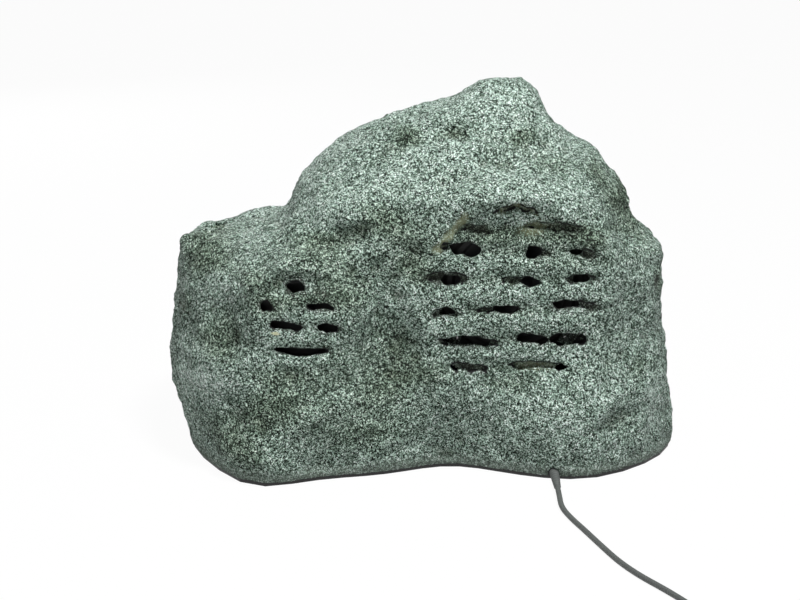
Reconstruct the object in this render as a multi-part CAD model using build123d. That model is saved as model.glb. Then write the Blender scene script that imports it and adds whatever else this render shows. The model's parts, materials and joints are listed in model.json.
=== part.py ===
from build123d import *
import math
import os

# Rock shaped garden speaker: a hollow moulded rock on a flat base, with a woofer and a tweeter
# behind two fields of slots, a crossover inside and a short loudspeaker lead.
# Millimetres, +X to the listener's right, -Y the front, +Z up, origin on the ground below the middle.

# Rock
ROCK_WIDTH = 540.0
ROCK_DEPTH = 340.0
BROW_HEIGHT = 280.0
PEAK_RISE = 104.0
SHOULDER_SHARE = 0.775
SHELL_WALL = 7.0
FACETS_AROUND = 54
FACETS_UP = 19
WEATHERING = 2.6
WEATHERING_SPAN = 31.0
CREST_WALL = 10.0
FIELD_MARGIN = 4.0
FIELD_FADE = 30.0
BLIND_SLOT_DEPTH = 4.8
SLOT_REACH = 6.0
SLOT_LEAD_IN = 20.0

# Base
PLATE_THICK = 3.5
PLATE_INSET = 2.0
SEAL_THICK = 1.0
SEAL_WIDTH = 4.0
SEAL_INSET = 0.5
RIM_CUT = 1.0
BOSS_DIA = 17.0
BOSS_HEIGHT = 34.0
BOSS_SINK = 2.0
BASE_SCREW_DIA = 4.0
BASE_SCREW_LENGTH = 24.0
BASE_SCREW_HEAD_DIA = 8.0
BASE_SCREW_HEAD_HEIGHT = 1.7
BASE_SCREW_RECESS = 1.9

# Fits
SCREW_CLEARANCE = 0.2
SEAT_CLEARANCE = 0.3
GLUE_GAP = 0.1
PILOT_FLOOR = 1.0
PILOT_CLEARANCE = 0.5

# Woofer
WOOFER_X = 88.0
WOOFER_BELOW_BROW = 87.0
WOOFER_FACE_INSET = 42.0
WOOFER_FIELD_DIA = 176.0
WOOFER_STANDOFF = 16.0
WOOFER_FRAME_DIA = 166.0
WOOFER_FLANGE = 10.5
WOOFER_DEPTH = 46.0
WOOFER_LAND = 7.0
COLLAR_WALL = 6.0
FRAME_SHEET = 1.6
BASKET_LIP = 4.5
BASKET_FOOT_DIA = 88.0
BASKET_WINDOW = 34.0
SURROUND_WIDTH = 11.0
SURROUND_SHEET = 1.0
SURROUND_CLEARANCE = 0.5
CONE_SHEET = 1.2
SURROUND_RISE = 4.5
DUST_CAP_DIA = 44.0
VOICE_COIL_DIA = 28.0
VOICE_COIL_WALL = 1.4
VOICE_COIL_OVERHANG = 2.0
SPIDER_SHEET = 1.4
SPIDER_BELOW_CONE = 12.0
MAGNET_DIA = 90.0
MAGNET_BORE = 46.0
MAGNET_THICK = 16.0
MOTOR_PLATE_DIA = 82.0
MOTOR_PLATE_THICK = 5.0
MOTOR_GAP = 0.8
DRIVER_SEAL = 1.5
WOOFER_TAG_LENGTH = 26.0
WOOFER_TAG_HEIGHT = 4.0

# Tweeter
TWEETER_X = -124.0
TWEETER_BELOW_SHOULDER = 47.0
TWEETER_FACE_INSET = 20.0
TWEETER_FIELD_DIA = 88.0
TWEETER_STANDOFF = 16.0
TWEETER_PLATE_DIA = 104.0
TWEETER_PLATE_THICK = 4.0
TWEETER_THROAT_DIA = 29.0
TWEETER_FLARE_DIA = 60.0
TWEETER_LIP = 1.0
DOME_DIA = 28.0
DOME_RISE = 6.0
TWEETER_MAGNET_DIA = 70.0
TWEETER_MAGNET_THICK = 9.0
TWEETER_CAP_DIA = 60.0
TWEETER_CAP_THICK = 5.0
TWEETER_TAG_LENGTH = 18.0
TWEETER_TAG_HEIGHT = 3.0

# Driver screws
DRIVER_SCREW_DIA = 3.5
DRIVER_SCREW_HEAD_DIA = 7.0
DRIVER_SCREW_HEAD_HEIGHT = 2.2
DRIVER_SCREW_BITE = 5.0
DRIVER_SCREW_EDGE = 5.0

# Crossover
BOARD_X = 20.0
BOARD_Y = 62.0
BOARD_LENGTH = 120.0
BOARD_WIDTH = 76.0
BOARD_THICK = 1.6
STANDOFF_HEIGHT = 8.0
STANDOFF_DIA = 7.0
STANDOFF_EDGE = 6.0
INDUCTOR_DIA = 44.0
INDUCTOR_BORE = 20.0
INDUCTOR_HEIGHT = 18.0
INDUCTOR_X = -20.0
INDUCTOR_Y = 12.0
CAPACITOR_DIA = 20.0
CAPACITOR_HEIGHT = 36.0
CAPACITOR_X = 20.0
CAPACITOR_Y = 18.0
RESISTOR_LENGTH = 38.0
RESISTOR_SIDE = 9.0
RESISTOR_X = -18.0
RESISTOR_Y = -26.0
TERMINAL_LENGTH = 30.0
TERMINAL_DEPTH = 12.0
TERMINAL_HEIGHT = 12.0

# Leads and cable
LEAD_WIDTH = 5.0
LEAD_THICK = 2.4
LEAD_BEND = 14.0
LEAD_DROP_SHARE = 0.55
LEAD_RISE = 36.0
WOOFER_LEAD_SHIFT = 30.0
CABLE_DIA = 5.5
CABLE_EXIT_X = 132.0
CABLE_LIFT = 0.3
BEND_SHARE = 0.45
CABLE_LEAD_OUT = 22.0
INNER_RUN = 45.0
INNER_SIDE = 16.0
INNER_RISE = 4.0
INNER_REACH = 50.0
BOOT_DIA = 10.0
BOOT_TIP_DIA = 7.0
BOOT_LENGTH = 40.0
BOOT_COLLAR = 3.0
CLAMP_LENGTH = 24.0
CLAMP_WIDTH = 10.0
CLAMP_ROOF = 3.0
CLAMP_BEHIND = 20.0
CLAMP_SCREW_DIA = 3.0
CLAMP_SCREW_HEAD_DIA = 5.6
CLAMP_SCREW_HEAD_HEIGHT = 2.0
COIL_X = 198.0
COIL_Y = -526.0
COIL_MID_DIA = 64.0
COIL_TURNS = 3
COIL_SLACK = 0.2
COIL_CLEARANCE = 0.4
COIL_LEAD_IN = 34.0
COIL_LEAN = 2.0
STUB_LENGTH = 9.0
STUB_SINK = 2.0
TIE_WIDTH = 5.0
TIE_THICK = 1.2
TIE_CLEARANCE = 0.1
CORE_DIA = 2.2
CORE_LENGTH = 16.0
CORE_TIP_DIA = 1.4
CORE_TIP_LENGTH = 8.0
CORE_SPACING = 3.0

RIM_Z = PLATE_THICK + SEAL_THICK
ROCK_HEIGHT = BROW_HEIGHT + PEAK_RISE
HALF_WIDTH = ROCK_WIDTH / 2
HALF_DEPTH = ROCK_DEPTH / 2
WOOFER_HEIGHT = BROW_HEIGHT - WOOFER_BELOW_BROW
TWEETER_HEIGHT = SHOULDER_SHARE * BROW_HEIGHT - TWEETER_BELOW_SHOULDER
WOOFER_CUTOUT_DIA = WOOFER_FRAME_DIA - 2 * WOOFER_FLANGE
BASKET_MOUTH_DIA = WOOFER_CUTOUT_DIA - 2 * BASKET_LIP
CONE_DIA = BASKET_MOUTH_DIA - 2 * SURROUND_WIDTH
WOOFER_FACE_Y = -HALF_DEPTH + WOOFER_FACE_INSET
TWEETER_FACE_Y = -HALF_DEPTH + TWEETER_FACE_INSET
WOOFER_SEAT_Y = WOOFER_FACE_Y + SHELL_WALL + WOOFER_STANDOFF
TWEETER_SEAT_Y = TWEETER_FACE_Y + SHELL_WALL + TWEETER_STANDOFF

# Plan of the rock at each height: height as a share of the brow's height (or 1 plus a share of the
# rise above it), then left, right, front and back as shares of the half width and half depth, and
# how square the plan is there.
PLANS = [
    (0.0, -0.935, 1, -0.86, 0.99, 2.9),
    (0.06, -0.95, 1.01, -0.88, 1.035, 2.9),
    (0.22, -0.98, 0.99, -0.89, 1.105, 2.9),
    (0.36, -1.015, 0.968, -0.88, 1.127, 2.9),
    (0.5, -0.985, 0.938, -0.83, 1.1, 3.1),
    (0.69, -0.97, 0.945, -0.77, 1.02, 3.2),
    (0.745, -0.96, 0.935, -0.76, 0.99, 3.2),
    (SHOULDER_SHARE, -0.925, 0.92, -0.76, 0.955, 3.1),
    (0.8, -0.79, 0.89, -0.76, 0.92, 3),
    (0.842, -0.57, 0.84, -0.755, 0.875, 2.9),
    (0.907, -0.53, 0.8, -0.75, 0.83, 2.9),
    (1, -0.485, 0.77, -0.72, 0.74, 2.7),
    (1.19, -0.425, 0.715, -0.57, 0.65, 2.5),
    (1.31, -0.37, 0.665, -0.48, 0.6, 2.5),
    (1.43, -0.31, 0.58, -0.39, 0.55, 2.5),
    (1.55, -0.2, 0.51, -0.32, 0.51, 2.5),
    (1.63, -0.115, 0.485, -0.26, 0.48, 2.5),
    (1.75, 0.08, 0.475, -0.18, 0.43, 2.5),
    (1.86, 0.165, 0.44, -0.11, 0.39, 2.5),
    (1.98, 0.215, 0.385, -0.03, 0.31, 2.5),
]

# Swellings and hollows of the front: across and half width as shares of the rock's half width, height
# and half height as shares of the brow's height, and how far it stands out as a share of the half depth.
FRONT_RELIEF = [
    (-0.648, 0.071, 0.222, 0.429, 0.271),
    (0.104, 0.000, 0.222, 0.339, -0.194),
    (0.615, 0.018, 0.222, 0.164, 0.100),
    (-0.111, 0.500, 0.111, 0.221, -0.118),
    (-0.704, 0.329, 0.170, 0.093, -0.071),
    (-0.370, 0.221, 0.126, 0.093, 0.053),
    (-0.822, 0.443, 0.126, 0.071, 0.059),
    (0.659, 0.300, 0.170, 0.100, 0.088),
    (0.289, 0.214, 0.133, 0.100, -0.053),
    (0.326, 1.036, 0.311, 0.046, 0.053),
    (-0.278, 0.936, 0.207, 0.050, 0.053),
]

# Slots over the woofer, from its centre and in shares of the field's half width: across, up, length,
# height, tilt in degrees, bow, goes through.
WOOFER_SLOTS = [
    (0.034, 0.869, 0.568, 0.074, 0, 0.095, False),
    (-0.405, 0.676, 0.341, 0.114, -10, 0, False),
    (0.464, 0.699, 0.713, 0.102, -2, 0.023, False),
    (-0.75, 0.494, 0.17, 0.074, 0, 0, False),
    (-0.531, 0.439, 0.341, 0.163, -8, 0, True),
    (0.226, 0.406, 0.164, 0.156, -6, 0, True),
    (0.345, 0.394, 0.205, 0.102, -8, 0, False),
    (0.724, 0.416, 0.119, 0.102, 0, 0, True),
    (0.857, 0.406, 0.239, 0.102, -3, 0, False),
    (-0.745, 0.117, 0.489, 0.125, -3, 0.011, False),
    (-0.701, 0.083, 0.205, 0.074, 0, 0, True),
    (0.093, 0.08, 0.443, 0.108, -2, 0.011, False),
    (0.211, 0.074, 0.222, 0.102, -6, 0, True),
    (0.786, 0.106, 0.386, 0.102, 0, 0, False),
    (0.783, 0.109, 0.165, 0.102, 0, 0, True),
    (-0.772, -0.29, 0.33, 0.102, 2, 0.023, False),
    (-0.734, -0.273, 0.153, 0.074, 0, 0, True),
    (-0.159, -0.256, 0.511, 0.085, 1, 0.011, False),
    (-0.074, -0.241, 0.284, 0.074, 0, 0, True),
    (0.606, -0.189, 0.312, 0.091, 6, 0.011, True),
    (0.864, -0.205, 0.307, 0.091, -12, 0, False),
    (-0.493, -0.633, 0.699, 0.114, -2, 0, False),
    (-0.511, -0.614, 0.568, 0.091, -2, 0.011, True),
    (0.237, -0.591, 0.352, 0.108, -5, 0, True),
    (0.645, -0.597, 0.438, 0.142, 2, 0, True),
    (-0.497, -0.932, 0.426, 0.102, -6, 0, False),
    (0.301, -0.92, 0.705, 0.102, -2, 0.023, False),
]

# Slots over the tweeter, in the same terms.
TWEETER_SLOTS = [
    (-0.093, 0.668, 0.42, 0.284, 0, 0, True),
    (-0.739, 0.234, 0.295, 0.273, 0, 0, True),
    (0.448, 0.22, 0.614, 0.159, 0, 0.023, True),
    (-0.3, -0.211, 0.773, 0.193, -10, 0, True),
    (0.62, -0.264, 0.5, 0.205, 0, 0, True),
    (0.036, -0.75, 1.216, 0.165, 0, -0.102, True),
]

# Outline of one slot: along it in half lengths, up it in heights.
SLOT_OUTLINE = [
    (-1, -0.22), (-0.6, -0.5), (0, -0.5), (0.66, -0.45), (1, -0.22),
    (1, 0.22), (0.55, 0.48), (0, 0.5), (-0.62, 0.46), (-1, 0.22),
]

# The cable's points on the ground between the boot's tip and the coil: share of the way across, share
# of the way forward, and height of its middle in cable radii.
CABLE_ROUTE = [
    (0.000, 0.141, 1.31),
    (0.068, 0.221, 1.02),
    (0.164, 0.310, 1.02),
    (0.280, 0.426, 1.02),
    (0.395, 0.536, 1.02),
    (0.540, 0.631, 1.02),
    (0.714, 0.720, 1.09),
    (0.868, 0.810, 1.31),
]


def blend(share):
    """An even rise from 0 to 1."""
    share = min(max(share, 0.0), 1.0)
    return share * share * (3 - 2 * share)


def plan_at(height):
    """Left, right, front, back and squareness of the rock's plan at a height."""
    if height <= BROW_HEIGHT:
        step = height / BROW_HEIGHT
    else:
        step = 1 + (height - BROW_HEIGHT) / PEAK_RISE
    low = PLANS[0]
    for high in PLANS[1:]:
        if step <= high[0]:
            break
        low = high
    share = min((step - low[0]) / max(high[0] - low[0], 1e-9), 1.0)
    left, right, front, back, square = [a + (b - a) * share for a, b in zip(low[1:], high[1:])]
    return left * HALF_WIDTH, right * HALF_WIDTH, front * HALF_DEPTH, back * HALF_DEPTH, square


def flatten(x, y, z, centre_x, centre_z, face_y, field_dia):
    """Draw the front onto the flat face of one field of slots."""
    away = math.hypot(x - centre_x, z - centre_z) - field_dia / 2
    return y + (face_y - y) * (1 - blend((away - FIELD_MARGIN) / FIELD_FADE))


def skin_point(turn, height):
    """The rock's outer surface at a turn about its middle and a height."""
    left, right, front, back, square = plan_at(height)
    half_x = (right - left) / 2
    half_y = (back - front) / 2
    across = math.cos(turn)
    along = math.sin(turn)
    reach = (abs(across / half_x) ** square + abs(along / half_y) ** square) ** (-1 / square)
    place_x = reach * across / WEATHERING_SPAN
    place_y = reach * along / WEATHERING_SPAN
    place_z = height / WEATHERING_SPAN
    rough = math.sin(place_x + 1.35 * place_z) + math.sin(1.15 * place_y - 0.84 * place_z + 1.7)
    rough = rough + math.sin(0.72 * (place_x + place_y) + 1.63 * place_z + 0.6)
    reach = reach + WEATHERING * (rough / 3 - 0.6)
    x = (left + right) / 2 + reach * across
    y = (front + back) / 2 + reach * along
    facing = blend(-along * 1.6)
    for centre_x, centre_z, wide, high, out in FRONT_RELIEF:
        aside = (x / HALF_WIDTH - centre_x) / wide
        above = (height / BROW_HEIGHT - centre_z) / high
        y = y - facing * out * HALF_DEPTH * math.exp(-aside ** 2 - above ** 2)
    if along < 0:
        y = flatten(x, y, height, WOOFER_X, WOOFER_HEIGHT, WOOFER_FACE_Y, WOOFER_FIELD_DIA)
        y = flatten(x, y, height, TWEETER_X, TWEETER_HEIGHT, TWEETER_FACE_Y, TWEETER_FIELD_DIA)
    return Vector(x, y, height)


def meridian(turn):
    """Points evenly spaced up the rock's surface, from the rim to the top."""
    steps = 4 * FACETS_UP
    top = BROW_HEIGHT + PEAK_RISE * (PLANS[-1][0] - 1)
    heights = [RIM_Z + (top - RIM_Z) * i / steps for i in range(steps + 1)]
    trace = [skin_point(turn, height) for height in heights]
    lengths = [0.0]
    for a, b in zip(trace, trace[1:]):
        lengths.append(lengths[-1] + (b - a).length)
    points = []
    place = 0
    for i in range(FACETS_UP + 1):
        wanted = lengths[-1] * i / FACETS_UP
        while place < steps - 1 and lengths[place + 1] < wanted:
            place = place + 1
        share = (wanted - lengths[place]) / (lengths[place + 1] - lengths[place])
        height = heights[place] + (heights[place + 1] - heights[place]) * share
        points.append(skin_point(turn, height))
    return points


def turn_at(i):
    return 2 * math.pi * i / FACETS_AROUND


MERIDIANS = [meridian(turn_at(i)) for i in range(FACETS_AROUND)]
PEAK = sum((line[-1] for line in MERIDIANS), Vector(0, 0, 0)) / FACETS_AROUND
PEAK = Vector(PEAK.X, PEAK.Y, ROCK_HEIGHT)


def outward(i, j):
    """The surface's outward direction at one facet corner."""
    line = MERIDIANS[i]
    beside = MERIDIANS[(i + 1) % FACETS_AROUND][j] - MERIDIANS[i - 1][j]
    above = line[min(j + 1, FACETS_UP)] - line[max(j - 1, 0)]
    return beside.cross(above).normalized()


def facet_solid(lines, peak):
    """A closed solid of flat facets through lines of points that run up to one peak."""
    faces = []
    for i, line in enumerate(lines):
        beside = lines[(i + 1) % len(lines)]
        for j in range(len(line) - 1):
            a, b, c, d = line[j], beside[j], beside[j + 1], line[j + 1]
            if (c - a).length <= (d - b).length:
                corners = [(a, b, c), (a, c, d)]
            else:
                corners = [(a, b, d), (b, c, d)]
            faces = faces + [Face(Wire.make_polygon(corner)) for corner in corners]
        faces.append(Face(Wire.make_polygon((line[-1], beside[-1], peak))))
    faces.append(Face(Wire.make_polygon([line[0] for line in lines])))
    return Solid(Shell(faces))


def inset_rim(distance):
    """The rock's outline at the rim, moved inward."""
    points = []
    for i in range(FACETS_AROUND):
        ahead = MERIDIANS[(i + 1) % FACETS_AROUND][0] - MERIDIANS[i - 1][0]
        inward = Vector(-ahead.Y, ahead.X, 0).normalized()
        points.append(MERIDIANS[i][0] + inward * distance)
    return points


def rim_face(distance, height):
    """A flat face within the rim's outline at a height."""
    return Face(Wire.make_polygon([Vector(p.X, p.Y, height) for p in inset_rim(distance)]))


def front_at(x):
    """How far forward the rim's outline stands at one place across."""
    points = MERIDIANS[FACETS_AROUND // 2:] + MERIDIANS[:1]
    for a, b in zip(points, points[1:]):
        if a[0].X <= x <= b[0].X:
            share = (x - a[0].X) / (b[0].X - a[0].X)
            return a[0].Y + (b[0].Y - a[0].Y) * share


def rod(radius, start, end):
    """A round bar from one point to another."""
    start = Vector(*start)
    end = Vector(*end)
    return extrude(Plane(origin=start, z_dir=end - start) * Circle(radius), (end - start).length)


def turned(profile):
    """A solid turned about Z from its half section, as radius and height pairs."""
    outline = Plane.XZ * make_face(Polyline(*profile, close=True))
    return revolve(outline, Axis.Z)


def ring(outer_dia, inner_dia, low, high):
    """A flat ring about Z."""
    return Pos(0, 0, low) * extrude(Circle(outer_dia / 2) - Circle(inner_dia / 2), high - low)


def disc(dia, low, high):
    """A round plate about Z."""
    return Pos(0, 0, low) * extrude(Circle(dia / 2), high - low)


def ring_places(count, radius, first_angle):
    """Places spread evenly round a circle."""
    angles = [math.radians(first_angle + 360 * i / count) for i in range(count)]
    return [(radius * math.cos(angle), radius * math.sin(angle)) for angle in angles]


# Each driver is drawn about its own Z axis, with its seat at zero and its front towards +Z.
WOOFER_FRAME = Plane(origin=(WOOFER_X, WOOFER_SEAT_Y, WOOFER_HEIGHT), x_dir=(1, 0, 0), z_dir=(0, -1, 0))
TWEETER_FRAME = Plane(origin=(TWEETER_X, TWEETER_SEAT_Y, TWEETER_HEIGHT), x_dir=(1, 0, 0), z_dir=(0, -1, 0))
WOOFER_SCREWS = ring_places(4, WOOFER_FRAME_DIA / 2 - DRIVER_SCREW_EDGE, 45)
TWEETER_SCREWS = ring_places(4, TWEETER_PLATE_DIA / 2 - DRIVER_SCREW_EDGE, 45)

# Base screws stand just inside the wall, at these shares of a turn round the rim.
BASE_SCREW_TURNS = [0.05, 0.20, 0.34, 0.46, 0.58, 0.68, 0.80, 0.93]
BOSS_RIM = inset_rim(SHELL_WALL + BOSS_DIA / 2 - BOSS_SINK)
BASE_SCREW_CORNERS = [BOSS_RIM[round(turn * FACETS_AROUND)] for turn in BASE_SCREW_TURNS]
BASE_SCREW_PLACES = [(corner.X, corner.Y) for corner in BASE_SCREW_CORNERS]

CABLE_Z = PLATE_THICK + CABLE_LIFT + CABLE_DIA / 2
EXIT_Y = front_at(CABLE_EXIT_X)
BOOT_TIP_Y = EXIT_Y - BOOT_LENGTH
BOOT_TAIL_Y = EXIT_Y + SHELL_WALL + BOOT_COLLAR
CLAMP_Y = BOOT_TAIL_Y + CLAMP_BEHIND
BOARD_Z = PLATE_THICK + STANDOFF_HEIGHT
BOARD_TOP = BOARD_Z + BOARD_THICK


def collar(field_dia, land_dia, land_thick, outer_dia, length):
    """A tube from the front wall to a driver's seat, with a land that the driver sits on."""
    tube = ring(outer_dia, field_dia, 0, length)
    return tube + ring(outer_dia, land_dia, 0, land_thick)


def slot(length, height, bow, depth):
    """One weathered slot: a lens with blunt ends, bowed up or down."""
    outline = [(along * length / 2, up * height + bow * (1 - abs(along))) for along, up in SLOT_OUTLINE]
    return extrude(Polygon(*outline, align=None), depth)


def slot_tools(slots, centre_x, centre_z, face_y, half):
    """Cutters for one field of slots, driven in from the front."""
    tools = []
    for across, up, length, height, tilt, bow, through in slots:
        depth = SHELL_WALL + SLOT_REACH if through else BLIND_SLOT_DEPTH
        start = Vector(centre_x + across * half, face_y + depth, centre_z + up * half)
        place = Plane(origin=start, x_dir=(1, 0, 0), z_dir=(0, -1, 0))
        opening = slot(length * half, height * half, bow * half, depth + SLOT_LEAD_IN)
        tools.append(place * Rot(0, 0, tilt) * opening)
    return tools


def rock_shell():
    """The moulded rock: facets outside, hollow inside, collars and bosses, then its slots and holes."""
    outer = facet_solid(MERIDIANS, PEAK)
    inner_lines = []
    for i, foot in enumerate(inset_rim(SHELL_WALL)):
        line = [MERIDIANS[i][j] - outward(i, j) * SHELL_WALL for j in range(1, FACETS_UP + 1)]
        inner_lines.append([Vector(foot.X, foot.Y, RIM_Z - RIM_CUT)] + line)
    hollow = facet_solid(inner_lines, PEAK - Vector(0, 0, CREST_WALL))
    woofer_collar = collar(WOOFER_FIELD_DIA, WOOFER_CUTOUT_DIA, WOOFER_LAND,
                           WOOFER_FIELD_DIA + 2 * COLLAR_WALL, WOOFER_STANDOFF + 3 * SHELL_WALL)
    tweeter_collar = ring(TWEETER_PLATE_DIA + 2 * COLLAR_WALL, TWEETER_FIELD_DIA, 0,
                          TWEETER_STANDOFF + 3 * SHELL_WALL)
    bosses = [Pos(x, y, RIM_Z - BOSS_SINK) * Cylinder(BOSS_DIA / 2, BOSS_HEIGHT + BOSS_SINK,
                                             align=(Align.CENTER, Align.CENTER, Align.MIN))
              for x, y in BASE_SCREW_PLACES]
    hollow = hollow - [WOOFER_FRAME * woofer_collar, TWEETER_FRAME * tweeter_collar, *bosses]
    pockets = [WOOFER_FRAME * disc(WOOFER_FRAME_DIA + 4 * SEAT_CLEARANCE, -2 * SHELL_WALL, 0),
               TWEETER_FRAME * disc(TWEETER_PLATE_DIA + 4 * SEAT_CLEARANCE, -2 * SHELL_WALL, 0)]
    bite = DRIVER_SCREW_BITE + SEAT_CLEARANCE
    pilots = [WOOFER_FRAME * Pos(x, y, 0) * disc(DRIVER_SCREW_DIA + SCREW_CLEARANCE, 0, bite)
              for x, y in WOOFER_SCREWS]
    pilots = pilots + [TWEETER_FRAME * Pos(x, y, 0) * disc(DRIVER_SCREW_DIA + SCREW_CLEARANCE, 0, bite)
                       for x, y in TWEETER_SCREWS]
    pilot_top = BASE_SCREW_RECESS + BASE_SCREW_LENGTH + SEAT_CLEARANCE
    pilots = pilots + [Pos(x, y, 0) * disc(BASE_SCREW_DIA + SCREW_CLEARANCE, 0, pilot_top)
                       for x, y in BASE_SCREW_PLACES]
    slots = [*slot_tools(WOOFER_SLOTS, WOOFER_X, WOOFER_HEIGHT, WOOFER_FACE_Y, WOOFER_FIELD_DIA / 2),
             *slot_tools(TWEETER_SLOTS, TWEETER_X, TWEETER_HEIGHT, TWEETER_FACE_Y, TWEETER_FIELD_DIA / 2)]
    return outer - [hollow, *pockets, *pilots, *slots, boot_hole()]


def boot_hole():
    """The round hole on the parting line that the cable's boot fills."""
    tip = (CABLE_EXIT_X, EXIT_Y - BOOT_LENGTH, CABLE_Z)
    return rod(BOOT_DIA / 2, tip, (CABLE_EXIT_X, BOOT_TAIL_Y, CABLE_Z))


def base_plate():
    """The flat base, with recessed screw holes and a groove for the boot."""
    plate = extrude(rim_face(PLATE_INSET, 0), PLATE_THICK, dir=(0, 0, 1))
    holes = [Pos(x, y, 0) * disc(BASE_SCREW_DIA + 3 * SCREW_CLEARANCE, 0, PLATE_THICK)
             for x, y in BASE_SCREW_PLACES]
    recesses = [Pos(x, y, 0) * disc(BASE_SCREW_HEAD_DIA + 4 * SCREW_CLEARANCE, 0, BASE_SCREW_RECESS)
                for x, y in BASE_SCREW_PLACES]
    pilot = disc(CLAMP_SCREW_DIA + SCREW_CLEARANCE, PILOT_FLOOR, PLATE_THICK)
    pilots = [Pos(x, y, 0) * pilot for x, y in [*clamp_places(), *board_places()]]
    return plate - [*holes, *recesses, *pilots, boot_hole()]


def base_seal():
    """The rubber seal between the base and the rock's rim."""
    outside = PLATE_INSET + SEAL_INSET
    face = rim_face(outside, PLATE_THICK) - rim_face(outside + SEAL_WIDTH, PLATE_THICK)
    return extrude(face, SEAL_THICK, dir=(0, 0, 1)) - boot_hole()


def base_screws():
    """Screws from below, with their heads in the recesses."""
    head_low = BASE_SCREW_RECESS - BASE_SCREW_HEAD_HEIGHT
    screw = disc(BASE_SCREW_HEAD_DIA, head_low, BASE_SCREW_RECESS)
    screw = screw + disc(BASE_SCREW_DIA, BASE_SCREW_RECESS, BASE_SCREW_RECESS + BASE_SCREW_LENGTH)
    return [Pos(x, y, 0) * screw for x, y in BASE_SCREW_PLACES]


def driver_screws(frame, places, grip):
    """Screws from behind that hold one driver to its seat."""
    screw = disc(DRIVER_SCREW_HEAD_DIA, -grip - DRIVER_SCREW_HEAD_HEIGHT, -grip)
    screw = screw + disc(DRIVER_SCREW_DIA, -grip, DRIVER_SCREW_BITE)
    return [frame * Pos(x, y, 0) * screw for x, y in places]


# Depths behind the woofer's seat, all negative.
FLANGE_FRONT = -DRIVER_SEAL
FLANGE_BACK = FLANGE_FRONT - FRAME_SHEET
BASKET_BACK = FLANGE_FRONT - WOOFER_DEPTH
TOP_PLATE_BACK = BASKET_BACK - MOTOR_PLATE_THICK
MAGNET_BACK = TOP_PLATE_BACK - MAGNET_THICK
YOKE_BACK = MAGNET_BACK - MOTOR_PLATE_THICK
POLE_DIA = VOICE_COIL_DIA - 2 * VOICE_COIL_WALL - 2 * MOTOR_GAP
PLATE_BORE = VOICE_COIL_DIA + 2 * MOTOR_GAP
CONE_BACK = BASKET_BACK / 2
SPIDER_BACK = CONE_BACK - SPIDER_BELOW_CONE


def basket_radius(depth):
    """Inside radius of the woofer's basket at a depth behind the seat."""
    share = (depth - FLANGE_FRONT) / (BASKET_BACK + FRAME_SHEET - FLANGE_FRONT)
    return BASKET_MOUTH_DIA / 2 + (BASKET_FOOT_DIA / 2 - FRAME_SHEET - BASKET_MOUTH_DIA / 2) * share


def woofer_frame():
    """The pressed basket: a flange, an open cone of legs and a flat foot."""
    wall = FRAME_SHEET * 1.2
    profile = [
        (WOOFER_FRAME_DIA / 2, FLANGE_FRONT),
        (WOOFER_FRAME_DIA / 2, FLANGE_BACK),
        (BASKET_MOUTH_DIA / 2 + wall, FLANGE_BACK),
        (BASKET_FOOT_DIA / 2, BASKET_BACK),
        (PLATE_BORE / 2, BASKET_BACK),
        (PLATE_BORE / 2, BASKET_BACK + FRAME_SHEET),
        (BASKET_FOOT_DIA / 2 - FRAME_SHEET, BASKET_BACK + FRAME_SHEET),
        (BASKET_MOUTH_DIA / 2, FLANGE_FRONT),
    ]
    window = Pos(0, 0, BASKET_BACK * 0.46) * Box(WOOFER_FRAME_DIA, BASKET_WINDOW, WOOFER_DEPTH * 0.5)
    windows = [Rot(0, 0, angle) * window for angle in (30, 90, 150)]
    holes = [Pos(x, y, 0) * disc(DRIVER_SCREW_DIA + 2 * SCREW_CLEARANCE, FLANGE_BACK, FLANGE_FRONT)
             for x, y in WOOFER_SCREWS]
    return turned(profile) - [*windows, *holes]


def woofer_surround():
    """The rubber roll between the cone and the frame."""
    lip = WOOFER_CUTOUT_DIA / 2 - SURROUND_CLEARANCE
    roll_out = BASKET_MOUTH_DIA / 2
    roll_in = CONE_DIA / 2
    width = roll_out - roll_in
    profile = [
        (lip, FLANGE_FRONT),
        (lip, FLANGE_FRONT + SURROUND_SHEET),
        (roll_out, FLANGE_FRONT + SURROUND_SHEET),
        (roll_out - width * 0.3, FLANGE_FRONT + SURROUND_RISE),
        (roll_in + width * 0.3, FLANGE_FRONT + SURROUND_RISE),
        (roll_in, FLANGE_FRONT + SURROUND_SHEET),
        (roll_in, FLANGE_FRONT),
    ]
    return turned(profile)


def woofer_cone():
    """The moulded cone, from the surround down to the voice coil."""
    front = FLANGE_FRONT + SURROUND_SHEET
    neck = VOICE_COIL_DIA / 2
    profile = [
        (CONE_DIA / 2, front),
        (CONE_DIA / 2, front - CONE_SHEET),
        (neck, CONE_BACK - CONE_SHEET),
        (neck, CONE_BACK),
    ]
    return turned(profile)


def dust_cap():
    """The cap over the voice coil, resting on the cone."""
    rise = (FLANGE_FRONT + SURROUND_SHEET - CONE_BACK) / (CONE_DIA / 2 - VOICE_COIL_DIA / 2)
    rest = CONE_BACK + rise * (DUST_CAP_DIA / 2 - VOICE_COIL_DIA / 2) + GLUE_GAP
    crown = DUST_CAP_DIA * 0.2
    profile = [
        (0, rest),
        (DUST_CAP_DIA / 2, rest),
        (DUST_CAP_DIA * 0.32, rest + crown * 0.7),
        (DUST_CAP_DIA * 0.12, rest + crown),
        (0, rest + crown),
    ]
    return turned(profile)


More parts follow.
